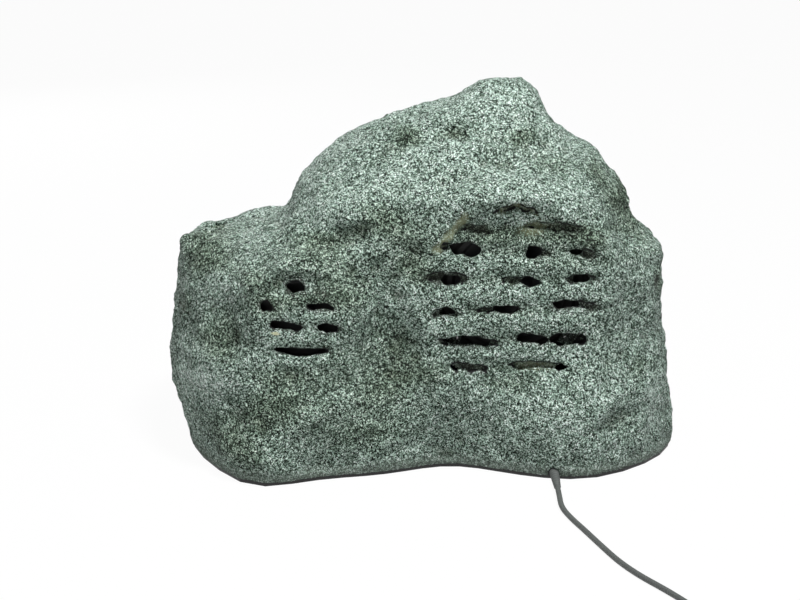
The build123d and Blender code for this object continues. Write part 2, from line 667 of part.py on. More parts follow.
def tweeter_plate():
    """The faceplate, flared round the dome."""
    profile = [
        (TWEETER_PLATE_DIA / 2, 0),
        (TWEETER_PLATE_DIA / 2, -TWEETER_PLATE_THICK),
        (TWEETER_THROAT_DIA / 2, -TWEETER_PLATE_THICK),
        (TWEETER_THROAT_DIA / 2, -TWEETER_PLATE_THICK + TWEETER_LIP),
        (TWEETER_FLARE_DIA / 2, 0),
    ]
    holes = [Pos(x, y, 0) * disc(DRIVER_SCREW_DIA + 2 * SCREW_CLEARANCE, -TWEETER_PLATE_THICK, 0)
             for x, y in TWEETER_SCREWS]
    return turned(profile) - holes


def tweeter_dome():
    """The soft dome, seated on the magnet's front plate."""
    radius = DOME_DIA / 2
    back = -TWEETER_PLATE_THICK
    profile = [
        (0, back),
        (radius, back),
        (radius * 0.84, back + DOME_RISE * 0.55),
        (radius * 0.45, back + DOME_RISE * 0.93),
        (0, back + DOME_RISE),
    ]
    return turned(profile)


def clamp_places():
    """Where the cable clamp's screws stand on the base."""
    reach = CLAMP_LENGTH / 2 - CLAMP_SCREW_HEAD_DIA / 2
    return [(CABLE_EXIT_X - reach, CLAMP_Y), (CABLE_EXIT_X + reach, CLAMP_Y)]


def board_places():
    """Where the crossover board's standoffs stand on the base."""
    reach_x = BOARD_LENGTH / 2 - STANDOFF_EDGE
    reach_y = BOARD_WIDTH / 2 - STANDOFF_EDGE
    return [(BOARD_X + sx * reach_x, BOARD_Y + sy * reach_y) for sx in (-1, 1) for sy in (-1, 1)]


def cable_clamp():
    """The saddle that holds the cable down on the base."""
    height = CABLE_LIFT + CABLE_DIA + CLAMP_ROOF
    saddle = Pos(CABLE_EXIT_X, CLAMP_Y, PLATE_THICK + height / 2) * Box(CLAMP_LENGTH, CLAMP_WIDTH, height)
    cable = rod(CABLE_DIA / 2 + SEAT_CLEARANCE, (CABLE_EXIT_X, CLAMP_Y - CLAMP_WIDTH, CABLE_Z),
                (CABLE_EXIT_X, CLAMP_Y + CLAMP_WIDTH, CABLE_Z))
    under = Pos(CABLE_EXIT_X, CLAMP_Y, PLATE_THICK) * Box(CABLE_DIA + 2 * SEAT_CLEARANCE, CLAMP_WIDTH,
                                                         2 * (CABLE_Z - PLATE_THICK))
    holes = [Pos(x, y, 0) * disc(CLAMP_SCREW_DIA + SCREW_CLEARANCE, PLATE_THICK, PLATE_THICK + height)
             for x, y in clamp_places()]
    return saddle - [cable, under, *holes]


def small_screws(places, seat, tip):
    """Small screws driven down from a seat."""
    head = disc(CLAMP_SCREW_HEAD_DIA, seat, seat + CLAMP_SCREW_HEAD_HEIGHT)
    screw = head + disc(CLAMP_SCREW_DIA, tip, seat)
    return [Pos(x, y, 0) * screw for x, y in places]


def crossover_board():
    """The board with its screw holes."""
    board = Pos(BOARD_X, BOARD_Y, BOARD_Z + BOARD_THICK / 2) * Box(BOARD_LENGTH, BOARD_WIDTH, BOARD_THICK)
    return board - [Pos(x, y, 0) * disc(CLAMP_SCREW_DIA + SCREW_CLEARANCE, BOARD_Z, BOARD_TOP)
                    for x, y in board_places()]


def crossover_standoffs():
    """Six sided spacers between the base and the board."""
    post = RegularPolygon(STANDOFF_DIA / 2, 6) - Circle((CLAMP_SCREW_DIA + SCREW_CLEARANCE) / 2)
    return [Pos(x, y, PLATE_THICK) * extrude(post, STANDOFF_HEIGHT) for x, y in board_places()]


TERMINAL_X = BOARD_X + BOARD_LENGTH / 2 - STANDOFF_EDGE * 2 - TERMINAL_LENGTH / 2
TERMINAL_Y = BOARD_Y - BOARD_WIDTH / 2 + TERMINAL_DEPTH / 2


WOOFER_MOTOR_Y = WOOFER_SEAT_Y - (TOP_PLATE_BACK + MAGNET_BACK) / 2
WOOFER_TAG_TOP = WOOFER_HEIGHT - MAGNET_DIA / 2 - GLUE_GAP
TWEETER_MOTOR_Y = TWEETER_SEAT_Y + TWEETER_PLATE_THICK + TWEETER_MAGNET_THICK / 2
TWEETER_TAG_TOP = TWEETER_HEIGHT - TWEETER_MAGNET_DIA / 2 - GLUE_GAP


def woofer_tag():
    """The terminal strip under the woofer's magnet."""
    strip = Box(WOOFER_TAG_LENGTH, MAGNET_THICK, WOOFER_TAG_HEIGHT)
    return Pos(WOOFER_X, WOOFER_MOTOR_Y, WOOFER_TAG_TOP - WOOFER_TAG_HEIGHT / 2) * strip


def tweeter_tag():
    """The terminal strip under the tweeter's magnet."""
    strip = Box(TWEETER_TAG_LENGTH, TWEETER_MAGNET_THICK, TWEETER_TAG_HEIGHT)
    return Pos(TWEETER_X, TWEETER_MOTOR_Y, TWEETER_TAG_TOP - TWEETER_TAG_HEIGHT / 2) * strip


def lead(points):
    """A flat two core lead through a few points, with rounded bends."""
    path = FilletPolyline(*points, radius=LEAD_BEND)
    start = Vector(*points[0])
    along = Vector(*points[1]) - start
    section = Plane(origin=start, x_dir=(1, 0, 0), z_dir=along) * Rectangle(LEAD_WIDTH, LEAD_THICK)
    return sweep(section, path=path)


def driver_lead(x, y, top, end_x):
    """From a driver's terminals down, across and onto the board."""
    end_y = BOARD_Y - BOARD_WIDTH / 4
    low = top - LEAD_DROP_SHARE * (top - BOARD_TOP)
    return lead([(x, y, top), (x, y, low), (end_x, end_y, BOARD_TOP + LEAD_RISE), (end_x, end_y, BOARD_TOP)])


def woofer_lead():
    """From the woofer's terminals to the board."""
    top = WOOFER_TAG_TOP - WOOFER_TAG_HEIGHT - GLUE_GAP
    return driver_lead(WOOFER_X, WOOFER_MOTOR_Y, top, WOOFER_X - WOOFER_LEAD_SHIFT)


def tweeter_lead():
    """From the tweeter's terminals to the board."""
    top = TWEETER_TAG_TOP - TWEETER_TAG_HEIGHT - GLUE_GAP
    return driver_lead(TWEETER_X, TWEETER_MOTOR_Y, top, BOARD_X - BOARD_LENGTH / 2 + 2 * LEAD_WIDTH)


def bend_radii(points):
    """The largest arc that each bend of a cable has room for."""
    radii = []
    for a, b, c in zip(points, points[1:], points[2:]):
        turn = (b - a).get_angle(c - b)
        shorter = min((b - a).length, (c - b).length)
        radii.append(BEND_SHARE * shorter / math.tan(math.radians(turn / 2)))
    return radii


def cable(points):
    """A round cable of straight runs and tangent arcs."""
    points = [Vector(*point) for point in points]
    radii = bend_radii(points)
    print("cable bend radii:", [round(radius, 1) for radius in radii])
    path = FilletPolyline(*points, radius=radii)
    section = Plane(origin=points[0], z_dir=points[1] - points[0]) * Circle(CABLE_DIA / 2)
    tube = sweep(section, path=path)
    share = tube.volume / (math.pi * CABLE_DIA ** 2 / 4 * path.length)
    print("cable length", round(path.length, 1), "volume share", round(share, 4))
    return tube


COIL_PITCH = CABLE_DIA + COIL_SLACK
COIL_BAND = COIL_PITCH * COIL_TURNS
COIL_LOW = TIE_THICK + TIE_CLEARANCE
COIL_HIGH = COIL_LOW + CABLE_DIA + COIL_CLEARANCE
COIL_OUTER = COIL_MID_DIA + COIL_BAND
COIL_INNER = COIL_MID_DIA - COIL_BAND
CORE_Z = (COIL_LOW + COIL_HIGH) / 2
STUB_END_Y = COIL_Y + COIL_INNER / 2 - STUB_LENGTH
COIL_ENTRY = (COIL_X + (COIL_OUTER - COIL_PITCH) / 2, COIL_Y, CORE_Z)


def cable_run():
    """The cable from the boot to the coil."""
    start = (CABLE_EXIT_X, BOOT_TIP_Y, CABLE_Z)
    straight = (CABLE_EXIT_X, BOOT_TIP_Y - CABLE_LEAD_OUT, CABLE_Z)
    way_x = COIL_ENTRY[0] - CABLE_EXIT_X
    way_y = COIL_ENTRY[1] - BOOT_TIP_Y
    ground = [(CABLE_EXIT_X + across * way_x, BOOT_TIP_Y + forward * way_y, lift * CABLE_DIA / 2)
              for across, forward, lift in CABLE_ROUTE]
    last = (COIL_ENTRY[0] - COIL_LEAN, COIL_Y + COIL_LEAD_IN, COIL_ENTRY[2])
    return cable([start, straight, *ground, last, COIL_ENTRY])


def cable_coil():
    """The outer shape of the coiled length, with a way in for the cable and its end turned inward."""
    coil = Pos(COIL_X, COIL_Y, 0) * ring(COIL_OUTER, COIL_INNER, COIL_LOW, COIL_HIGH)
    stub_start = (COIL_X, STUB_END_Y + STUB_LENGTH + STUB_SINK, CORE_Z)
    end = rod(CABLE_DIA / 2, stub_start, (COIL_X, STUB_END_Y, CORE_Z))
    return coil + end


def woofer_seal():
    """The foam ring between the basket's flange and the land of its collar."""
    hole = disc(DRIVER_SCREW_DIA + SCREW_CLEARANCE, FLANGE_FRONT, 0)
    seal = ring(WOOFER_FRAME_DIA, WOOFER_CUTOUT_DIA, FLANGE_FRONT, 0)
    return seal - [Pos(x, y, 0) * hole for x, y in WOOFER_SCREWS]


def parts():
    """Every piece by name."""
    pole = disc(POLE_DIA, MAGNET_BACK, BASKET_BACK + FRAME_SHEET)
    cap_front = -TWEETER_PLATE_THICK - TWEETER_MAGNET_THICK
    terminal_z = BOARD_TOP + TERMINAL_HEIGHT / 2
    resistor_z = BOARD_TOP + RESISTOR_SIDE / 2
    clamp_top = PLATE_THICK + CABLE_LIFT + CABLE_DIA + CLAMP_ROOF
    coil_room = disc(COIL_OUTER, COIL_LOW - CABLE_DIA, COIL_HIGH + CABLE_DIA)
    screw_tip = PILOT_FLOOR + PILOT_CLEARANCE
    tie_x = COIL_X - COIL_MID_DIA / 2
    tie = Pos(tie_x, COIL_Y, (COIL_LOW + COIL_HIGH) / 2)
    tie_wide = COIL_BAND + 4 * TIE_CLEARANCE
    tie_high = COIL_HIGH - COIL_LOW + 2 * TIE_CLEARANCE
    tie_band = Box(tie_wide + 2 * TIE_THICK, TIE_WIDTH, tie_high + 2 * TIE_THICK)
    tie_hole = Box(tie_wide, TIE_WIDTH, tie_high)
    core_places = [COIL_X - CORE_SPACING / 2, COIL_X + CORE_SPACING / 2]
    core_end = STUB_END_Y - CORE_LENGTH
    tip_end = core_end - CORE_TIP_LENGTH
    boot = [(0, 0), (BOOT_DIA / 2, 0), (BOOT_DIA / 2, BOOT_TAIL_Y - EXIT_Y),
            (BOOT_TIP_DIA / 2, BOOT_TAIL_Y - BOOT_TIP_Y), (0, BOOT_TAIL_Y - BOOT_TIP_Y)]
    boot_frame = Plane(origin=(CABLE_EXIT_X, BOOT_TAIL_Y, CABLE_Z), x_dir=(1, 0, 0), z_dir=(0, -1, 0))
    return {
        "rock_shell": rock_shell(),
        "base_plate": base_plate(),
        "base_seal": base_seal(),
        "base_screws": base_screws(),
        "woofer_frame": WOOFER_FRAME * woofer_frame(),
        "woofer_seal": WOOFER_FRAME * woofer_seal(),
        "woofer_surround": WOOFER_FRAME * woofer_surround(),
        "woofer_cone": WOOFER_FRAME * woofer_cone(),
        "woofer_dust_cap": WOOFER_FRAME * dust_cap(),
        "woofer_voice_coil": WOOFER_FRAME * ring(VOICE_COIL_DIA, VOICE_COIL_DIA - 2 * VOICE_COIL_WALL,
                                                 TOP_PLATE_BACK - VOICE_COIL_OVERHANG, CONE_BACK),
        "woofer_spider": WOOFER_FRAME * ring(2 * basket_radius(SPIDER_BACK) - 2 * SEAT_CLEARANCE,
                                             VOICE_COIL_DIA, SPIDER_BACK, SPIDER_BACK + SPIDER_SHEET),
        "woofer_top_plate": WOOFER_FRAME * ring(MOTOR_PLATE_DIA, PLATE_BORE, TOP_PLATE_BACK, BASKET_BACK),
        "woofer_magnet": WOOFER_FRAME * ring(MAGNET_DIA, MAGNET_BORE, MAGNET_BACK, TOP_PLATE_BACK),
        "woofer_yoke": WOOFER_FRAME * (disc(MOTOR_PLATE_DIA, YOKE_BACK, MAGNET_BACK) + pole),
        "woofer_terminals": woofer_tag(),
        "woofer_screws": driver_screws(WOOFER_FRAME, WOOFER_SCREWS, -FLANGE_BACK),
        "tweeter_faceplate": TWEETER_FRAME * tweeter_plate(),
        "tweeter_dome": TWEETER_FRAME * tweeter_dome(),
        "tweeter_magnet": TWEETER_FRAME * disc(TWEETER_MAGNET_DIA, cap_front, -TWEETER_PLATE_THICK),
        "tweeter_back_plate": TWEETER_FRAME * disc(TWEETER_CAP_DIA, cap_front - TWEETER_CAP_THICK, cap_front),
        "tweeter_terminals": tweeter_tag(),
        "tweeter_screws": driver_screws(TWEETER_FRAME, TWEETER_SCREWS, TWEETER_PLATE_THICK),
        "crossover_board": crossover_board(),
        "crossover_standoffs": crossover_standoffs(),
        "crossover_screws": small_screws(board_places(), BOARD_TOP, screw_tip),
        "crossover_inductor": Pos(BOARD_X + INDUCTOR_X, BOARD_Y + INDUCTOR_Y, 0) * ring(
            INDUCTOR_DIA, INDUCTOR_BORE, BOARD_TOP, BOARD_TOP + INDUCTOR_HEIGHT),
        "crossover_capacitor": Pos(BOARD_X + CAPACITOR_X, BOARD_Y + CAPACITOR_Y, 0) * disc(
            CAPACITOR_DIA, BOARD_TOP, BOARD_TOP + CAPACITOR_HEIGHT),
        "crossover_resistor": Pos(BOARD_X + RESISTOR_X, BOARD_Y + RESISTOR_Y, resistor_z) * Box(
            RESISTOR_LENGTH, RESISTOR_SIDE, RESISTOR_SIDE),
        "crossover_terminals": Pos(TERMINAL_X, TERMINAL_Y, terminal_z) * Box(
            TERMINAL_LENGTH, TERMINAL_DEPTH, TERMINAL_HEIGHT),
        "woofer_lead": woofer_lead(),
        "tweeter_lead": tweeter_lead(),
        "cable_boot": boot_frame * turned(boot),
        "cable_clamp": cable_clamp(),
        "clamp_screws": small_screws(clamp_places(), clamp_top, screw_tip),
        "cable_inside": cable([
            (CABLE_EXIT_X, BOOT_TAIL_Y, CABLE_Z), (CABLE_EXIT_X, BOOT_TAIL_Y + INNER_RUN, CABLE_Z),
            (CABLE_EXIT_X - INNER_SIDE, BOOT_TAIL_Y + 2 * INNER_RUN, CABLE_Z + INNER_RISE),
            (TERMINAL_X, TERMINAL_Y - INNER_REACH, terminal_z),
            (TERMINAL_X, TERMINAL_Y - TERMINAL_DEPTH / 2, terminal_z)]),
        "cable_run": cable_run() - Pos(COIL_X, COIL_Y, 0) * coil_room,
        "cable_coil": cable_coil(),
        "cable_tie": tie * (tie_band - tie_hole),
        "cable_cores": [rod(CORE_DIA / 2, (x, STUB_END_Y, CORE_Z), (x, core_end, CORE_Z))
                        for x in core_places],
        "core_tips": [rod(CORE_TIP_DIA / 2, (x, core_end, CORE_Z), (x, tip_end, CORE_Z))
                      for x in core_places],
    }


os.makedirs("parts", exist_ok=True)
for name, shape in parts().items():
    if isinstance(shape, list):
        shape = Compound(children=[*shape])
    export_step(shape, "parts/" + name + ".step")
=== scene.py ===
# %% [markdown]
# # A rock shaped garden speaker
# The object is a hollow moulded rock with a woofer and a tweeter behind two fields of slots. The packed
# model is the fixed frame: every piece made here sits where its solid sits, in metres. This lesson sets
# the camera, shapes and paints the rock, gives the other parts their finishes, lays the cable and sets the
# light.

# %% Load the frame
import json
import math

import bmesh
import bpy
import numpy as np
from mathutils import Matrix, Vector, noise
from mathutils.bvhtree import BVHTree


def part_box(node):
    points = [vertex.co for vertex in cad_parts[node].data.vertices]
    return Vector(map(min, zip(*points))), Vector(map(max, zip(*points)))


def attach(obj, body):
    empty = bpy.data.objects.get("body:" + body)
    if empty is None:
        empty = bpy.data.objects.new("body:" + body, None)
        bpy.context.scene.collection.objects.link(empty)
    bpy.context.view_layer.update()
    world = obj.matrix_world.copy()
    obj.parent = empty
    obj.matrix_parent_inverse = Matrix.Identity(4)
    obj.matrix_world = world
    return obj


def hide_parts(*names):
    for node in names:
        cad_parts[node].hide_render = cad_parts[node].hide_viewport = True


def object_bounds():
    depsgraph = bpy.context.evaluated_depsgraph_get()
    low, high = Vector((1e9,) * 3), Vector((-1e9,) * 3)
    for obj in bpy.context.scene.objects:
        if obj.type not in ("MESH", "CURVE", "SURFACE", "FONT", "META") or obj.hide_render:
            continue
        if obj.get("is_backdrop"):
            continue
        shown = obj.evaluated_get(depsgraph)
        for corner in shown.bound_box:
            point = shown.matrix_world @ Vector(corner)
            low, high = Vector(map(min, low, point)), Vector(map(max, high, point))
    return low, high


MM = 0.001
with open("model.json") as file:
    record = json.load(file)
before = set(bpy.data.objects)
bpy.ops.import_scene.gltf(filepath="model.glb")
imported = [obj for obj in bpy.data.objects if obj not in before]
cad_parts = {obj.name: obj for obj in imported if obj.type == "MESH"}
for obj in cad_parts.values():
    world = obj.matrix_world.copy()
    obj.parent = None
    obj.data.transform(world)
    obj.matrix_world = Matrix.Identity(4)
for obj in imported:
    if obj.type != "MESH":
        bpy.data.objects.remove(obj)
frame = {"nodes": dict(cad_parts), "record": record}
nodes = frame["nodes"]
cad_low, cad_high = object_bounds()
scene = bpy.context.scene
print("frame:", len(nodes), "nodes, box", [round(v, 3) for v in (*cad_low, *cad_high)])

# %% [markdown]
# ## The camera
# The picture looks slightly down on the rock from straight in front, with a long lens. A focal length of
# 1900 pixels on an 800 pixel wide frame is 85.5 mm on a 36 mm sensor. The view is aimed at a point in the
# rock, so one tracking turn gives the tilt and no lens shift is needed.

# %% Camera
VIEWPOINT = Vector((-0.0245, -1.965, 0.675))
AIM = Vector((-0.0245, -0.130, 0.183))
FOCAL_LENGTH = 85.5
SENSOR_WIDTH = 36.0
lens = bpy.data.cameras.new("picture_camera")
lens.lens = FOCAL_LENGTH
lens.sensor_width = SENSOR_WIDTH
camera = bpy.data.objects.new("picture_camera", lens)
camera.location = VIEWPOINT
camera.rotation_euler = (AIM - VIEWPOINT).to_track_quat("-Z", "Y").to_euler()
scene.collection.objects.link(camera)
scene.camera = camera
tilt = math.degrees(math.asin((VIEWPOINT.z - AIM.z) / (AIM - VIEWPOINT).length))
print("camera tilts", round(tilt, 1), "degrees down")

# %% [markdown]
# ## Writing finishes as sums
# Shader maths reads best as Python: a small class wraps one socket and overloads the operators, so that
# `1 - mask` adds its own Math node. Every other node comes from one method, which sets the node's options
# first and then its sockets, by name or number.

# %% Sockets as numbers
class Wire:
    """One output of a finish, which adds and multiplies as a number does."""

    def __init__(self, finish, socket):
        self.finish = finish
        self.socket = socket

    def sum(self, operation, first, second):
        return self.finish.node("Math", {"operation": operation}, {0: first, 1: second})

    def __add__(self, other):
        return self.sum("ADD", self, other)

    def __radd__(self, other):
        return self.sum("ADD", other, self)

    def __sub__(self, other):
        return self.sum("SUBTRACT", self, other)

    def __rsub__(self, other):
        return self.sum("SUBTRACT", other, self)

    def __mul__(self, other):
        return self.sum("MULTIPLY", self, other)


class Finish:
    """A material being made, node by node."""

    def __init__(self, name):
        self.material = bpy.data.materials.new(name)
        self.material.use_nodes = True
        self.tree = self.material.node_tree
        self.tree.nodes.clear()

    def feed(self, socket, value):
        if isinstance(value, Wire):
            self.tree.links.new(value.socket, socket)
        elif socket.type == "RGBA":
            socket.default_value = (*value, 1.0)
        else:
            socket.default_value = value

    def node(self, kind, settings=None, inputs=None, output=0):
        made = self.tree.nodes.new("ShaderNode" + kind)
        for key, value in (settings or {}).items():
            if key == "stops":
                stops = made.color_ramp.elements
                stops.remove(stops[1])
                stops[0].position = value[0][0]
                stops[0].color = (*value[0][1], 1.0)
                for place, colour in value[1:]:
                    stops.new(place).color = (*colour, 1.0)
            else:
                setattr(made, key, value)
        for key, value in (inputs or {}).items():
            self.feed(made.inputs[key], value)
        return Wire(self, made.outputs[output])

    def place(self):
        return self.node("TexCoord", output="Object")

    def mix(self, share, first, second, blend="MIX"):
        settings = {"data_type": "RGBA", "blend_type": blend}
        return self.node("Mix", settings, {0: share, 6: first, 7: second}, 2)

    def ramp(self, value, stops):
        return self.node("ValToRGB", {"stops": stops}, {"Fac": value})

    def close(self, share, low, high):
        """0 below low, 1 above high, smooth between."""
        return self.node("MapRange", {"interpolation_type": "SMOOTHSTEP"},
                         {"Value": share, "From Min": low, "From Max": high})

    def finished(self, sockets, bump, strength, depth):
        """The material with its one surface, raised by the bump."""
        settings = {"Strength": strength, "Distance": depth, "Height": bump}
        normal = self.node("Bump", None, settings)
        self.output(self.node("BsdfPrincipled", None, {**sockets, "Normal": normal}))
        return self.material

    def output(self, surface):
        end = self.tree.nodes.new("ShaderNodeOutputMaterial")
        self.tree.links.new(surface.socket, end.inputs["Surface"])


def paint(red, green, blue):
    """A screen colour from 0 to 255 as the linear values that a shader takes."""
    linear = []
    for value in (red / 255, green / 255, blue / 255):
        linear.append(value / 12.92 if value <= 0.04045 else ((value + 0.055) / 1.055) ** 2.4)
    return tuple(linear)


print("paint(128, 128, 128) is", [round(c, 3) for c in paint(128, 128, 128)])

# %% [markdown]
# ## The rock's form
# The real shell is a resin casting of a weathered stone: broad lumps, a sloped roof with small ledges, a
# valley between the two fields of slots, and a soft hollow round each slot. The solid has the main form in
# flat facets. A copy of it is merged, remeshed to an even grid and smoothed, and then its points move by a
# sum of waves and listed swells and dents. At last the mesh is thinned, most of all inside, which is only
# seen through the slots.

# %% Grid over the solid
GRID = 0.0022
WELD = 2e-5
# A face is outside if at least two of five rays from just above it leave the rock. The rays lean apart, and
# none of them points down.
RAY_START = 2e-4
RAY_LEAN = 0.6
RAY_RISE = 0.08
RAY_LENGTH = 2.0
OPEN_RAYS = 2


def apply_modifiers(thing):
    """Gives an object the mesh that its modifiers make of it."""
    graph = bpy.context.evaluated_depsgraph_get()
    thing.data = bpy.data.meshes.new_from_object(thing.evaluated_get(graph))
    thing.modifiers.clear()


form = bmesh.new()
form.from_mesh(nodes["rock_shell"].data)
bmesh.ops.remove_doubles(form, verts=form.verts, dist=WELD)
solid_tree = BVHTree.FromBMesh(form)
outside = []
for face in form.faces:
    ray_start = face.calc_center_median() + face.normal * RAY_START
    aside = face.normal.orthogonal().normalized() * RAY_LEAN
    crosswise = face.normal.cross(aside)
    open_rays = 0
    for lean in (Vector((0, 0, 0)), aside, -aside, crosswise, -crosswise):
        ray = face.normal + lean
        ray.z = max(ray.z, RAY_RISE)
        open_rays += solid_tree.ray_cast(ray_start, ray.normalized(), RAY_LENGTH)[0] is None
    outside.append(open_rays >= OPEN_RAYS)
rock_mesh = bpy.data.meshes.new("rock")
form.to_mesh(rock_mesh)
form.free()
rock = bpy.data.objects.new("rock", rock_mesh)
scene.collection.objects.link(rock)
grid = rock.modifiers.new("grid", "REMESH")
grid.mode = "VOXEL"
grid.voxel_size = GRID
apply_modifiers(rock)
print("rock grid:", len(rock.data.vertices), "points")
print("outside:", sum(outside), "of", len(outside), "faces of the solid")

# %% Points, neighbours and which are outside
OUTER_STEPS = 3
count = len(rock.data.vertices)
flat = np.empty(count * 3)
rock.data.vertices.foreach_get("co", flat)
points = flat.reshape(-1, 3)
pairs = np.empty(len(rock.data.edges) * 2, int)
rock.data.edges.foreach_get("vertices", pairs)
pairs = pairs.reshape(-1, 2)
degree = np.bincount(pairs.ravel(), minlength=count).astype(float)


def neighbours_mean(values):
    """The mean of each point's neighbours."""
    columns = []
    for column in values.reshape(count, -1).T:
        total = np.bincount(pairs[:, 0], column[pairs[:, 1]], count)
        columns.append((total + np.bincount(pairs[:, 1], column[pairs[:, 0]], count)) / degree)
    return np.array(columns).T.reshape(values.shape)


def point_normals():
    """Outward direction at each point of the rock as it stands."""
    rock.data.vertices.foreach_set("co", points.ravel())
    rock.data.update()
    directions = np.empty(count * 3)
    rock.data.vertices.foreach_get("normal", directions)
    return directions.reshape(-1, 3)


def fade(value, low, high):
    """0 below low, 1 above high, smooth between."""
    share = np.clip((value - low) / (high - low), 0, 1)
    return share * share * (3 - 2 * share)


outer = np.array([outside[solid_tree.find_nearest(Vector(p))[2]] for p in points], float)
for _ in range(OUTER_STEPS):
    outer = np.minimum(outer, 0.5 * outer + 0.5 * neighbours_mean(outer))
print("outer points:", int((outer > 0.5).sum()), "of", count)

# %% [markdown]
# ## Smoothing
# Steps towards the neighbours' mean melt the facets, and a shorter step back after each keeps the form from
# shrinking. The fields of slots and the rim at the foot are left out of that, so that the slots stay crisp
# and the foot stays flat. Two light steps then soften the fields too.

# %% Smooth away the facets
# Middle of each field of slots, across and up, its radius, and the distance at which it no longer counts.
WOOFER = np.array([0.088, 0.193])
WOOFER_FIELD = 0.088
WOOFER_CLEAR = 0.105
TWEETER = np.array([-0.124, 0.170])
TWEETER_FIELD = 0.044
TWEETER_CLEAR = 0.056
FRONT_Y = -0.06
RIM_LOW = 0.007
RIM_HIGH = 0.014
SMOOTH_STEPS = 52
STEP_IN = 0.6
STEP_BACK = -0.45
SOFT_STEPS = 2
SOFT_STEP = 0.35
face_on = points[:, [0, 2]]
from_woofer = np.linalg.norm(face_on - WOOFER, axis=1)
from_tweeter = np.linalg.norm(face_on - TWEETER, axis=1)
front = points[:, 1] < FRONT_Y
past_woofer = fade(from_woofer, WOOFER_FIELD, WOOFER_CLEAR)
past_tweeter = fade(from_tweeter, TWEETER_FIELD, TWEETER_CLEAR)
free = np.where(front, np.minimum(past_woofer, past_tweeter), 1.0)
rim = fade(points[:, 2], RIM_LOW, RIM_HIGH)
for step in range(SMOOTH_STEPS):
    strength = STEP_IN if step % 2 == 0 else STEP_BACK
    points += (neighbours_mean(points) - points) * (strength * outer * free * rim)[:, None]
for _ in range(SOFT_STEPS):
    points += (neighbours_mean(points) - points) * (SOFT_STEP * outer * rim)[:, None]
normals = point_normals()
print("smoothed; front points:", int(front.sum()))

# %% [markdown]
# ## Weathering
# Stone is rough at every scale, so waves of falling size are added up: lumps of about 65 mm, crags of 35 mm
# and grit of 10 mm. The crags are ridged noise, which keeps creases where plain noise would be round. The
# fields of slots get less of the lumps and crags, since there the picture is calmer. The back has no listed
# ledges, so it gets layers of its own. The sum is clipped, so that the rock stays close to its solid.

# %% Weathering
# Waves per metre and height of each kind, and the level of ridged noise that counts as flat.
LUMP_SCALE = 15
LUMP_HEIGHT = 0.0034
CRAG_SCALE = 27
CRAG_HEIGHT = 0.0032
CRAG_LEVEL = 1.05
GRIT_SCALE = 95
GRIT_HEIGHT = 0.0012
# The back's layers in the same terms, with how they slant and where towards the back they set in.
LAYER_ALONG = 8
LAYER_UP = 19
LAYER_SLANT = 5
LAYER_HEIGHT = 0.0050
LAYER_LEVEL = 1.0
LAYERS_FROM = 0.03
LAYERS_FULL = 0.10
# What the fields of slots keep of lumps and crags, what the rim keeps of the sum, and the sum's limits.
FIELD_SHARE = 0.35
RIM_SHARE = 0.25
DEEPEST = -0.0045
HIGHEST = 0.0035
calm = FIELD_SHARE + (1 - FIELD_SHARE) * free
back = fade(points[:, 1], LAYERS_FROM, LAYERS_FULL)
waves = np.zeros(count)
for i in np.nonzero(outer > 0.02)[0]:
    p = Vector(points[i])
    lump = noise.fractal(p * LUMP_SCALE, 1.0, 2.0, 2)
    crag = noise.ridged_multi_fractal(p * CRAG_SCALE, 1.0, 2.1, 3, 1.0, 2.0) - CRAG_LEVEL
    waves[i] = calm[i] * (LUMP_HEIGHT * lump + CRAG_HEIGHT * crag)
    waves[i] += GRIT_HEIGHT * noise.fractal(p * GRIT_SCALE, 0.8, 2.0, 2)
    if back[i] > 0:
        bed = Vector((p.x * LAYER_ALONG, p.y * LAYER_ALONG, p.z * LAYER_UP + p.x * LAYER_SLANT))
        layer = noise.ridged_multi_fractal(bed, 1.0, 2.0, 2, 1.0, 2.0) - LAYER_LEVEL
        waves[i] += back[i] * LAYER_HEIGHT * layer
waves = np.clip(waves, DEEPEST, HIGHEST)
points += normals * (waves * outer * (RIM_SHARE + (1 - RIM_SHARE) * rim))[:, None]
normals = point_normals()
print("weathered by", round(float(waves.min()) / MM, 1), "to", round(float(waves.max()) / MM, 1), "mm")

# %% [markdown]
# ## The foot and the outline
# The outer edge of the foot is drawn down a little over the base plate, as a casting's feather edge is.
# Broad swells then bring the outline to the picture's: the left shoulder and the dips beside and below it,
# the right shoulder, and three on the right of the crown. Both faces of the wall move, so that it keeps
# its thickness.

# %% Lip and swells
LIP_DROP = 0.0018
LIP_FULL = 0.0008
LIP_END = 0.0040
LEVEL_FLANK = 0.2
STEEP_FLANK = 0.6
# Middle, reach along each axis, and rise.
SWELLS = [
    ((-0.254, 0.000, 0.214), (0.034, 0.034, 0.034), 0.0090),
    ((-0.228, 0.050, 0.222), (0.020, 0.070, 0.030), -0.0070),
    ((-0.180, 0.060, 0.230), (0.026, 0.070, 0.030), -0.0050),
    ((-0.258, -0.030, 0.190), (0.030, 0.090, 0.026), -0.0065),
    ((0.250, -0.036, 0.210), (0.026, 0.080, 0.022), 0.0035),
    ((0.210, -0.018, 0.264), (0.022, 0.080, 0.018), 0.0040),
    ((0.197, 0.000, 0.297), (0.020, 0.080, 0.016), -0.0045),
    ((0.109, 0.011, 0.375), (0.014, 0.060, 0.020), 0.0045),
]
foot_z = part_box("rock_shell")[0][2]
flank = np.hypot(normals[:, 0], normals[:, 1])
outward = (normals[:, :2] * points[:, :2]).sum(1) > 0
near_foot = 1 - fade(points[:, 2], foot_z + LIP_FULL, foot_z + LIP_END)
lip = fade(flank, LEVEL_FLANK, STEEP_FLANK) * near_foot * outward
points[:, 2] -= LIP_DROP * lip
for swell_middle, reach, rise in SWELLS:
    away = np.linalg.norm((points - np.array(swell_middle)) / np.array(reach), axis=1)
    points += normals * (rise * np.exp(-away * away) * (2 * outer - 1))[:, None]
normals = point_normals()
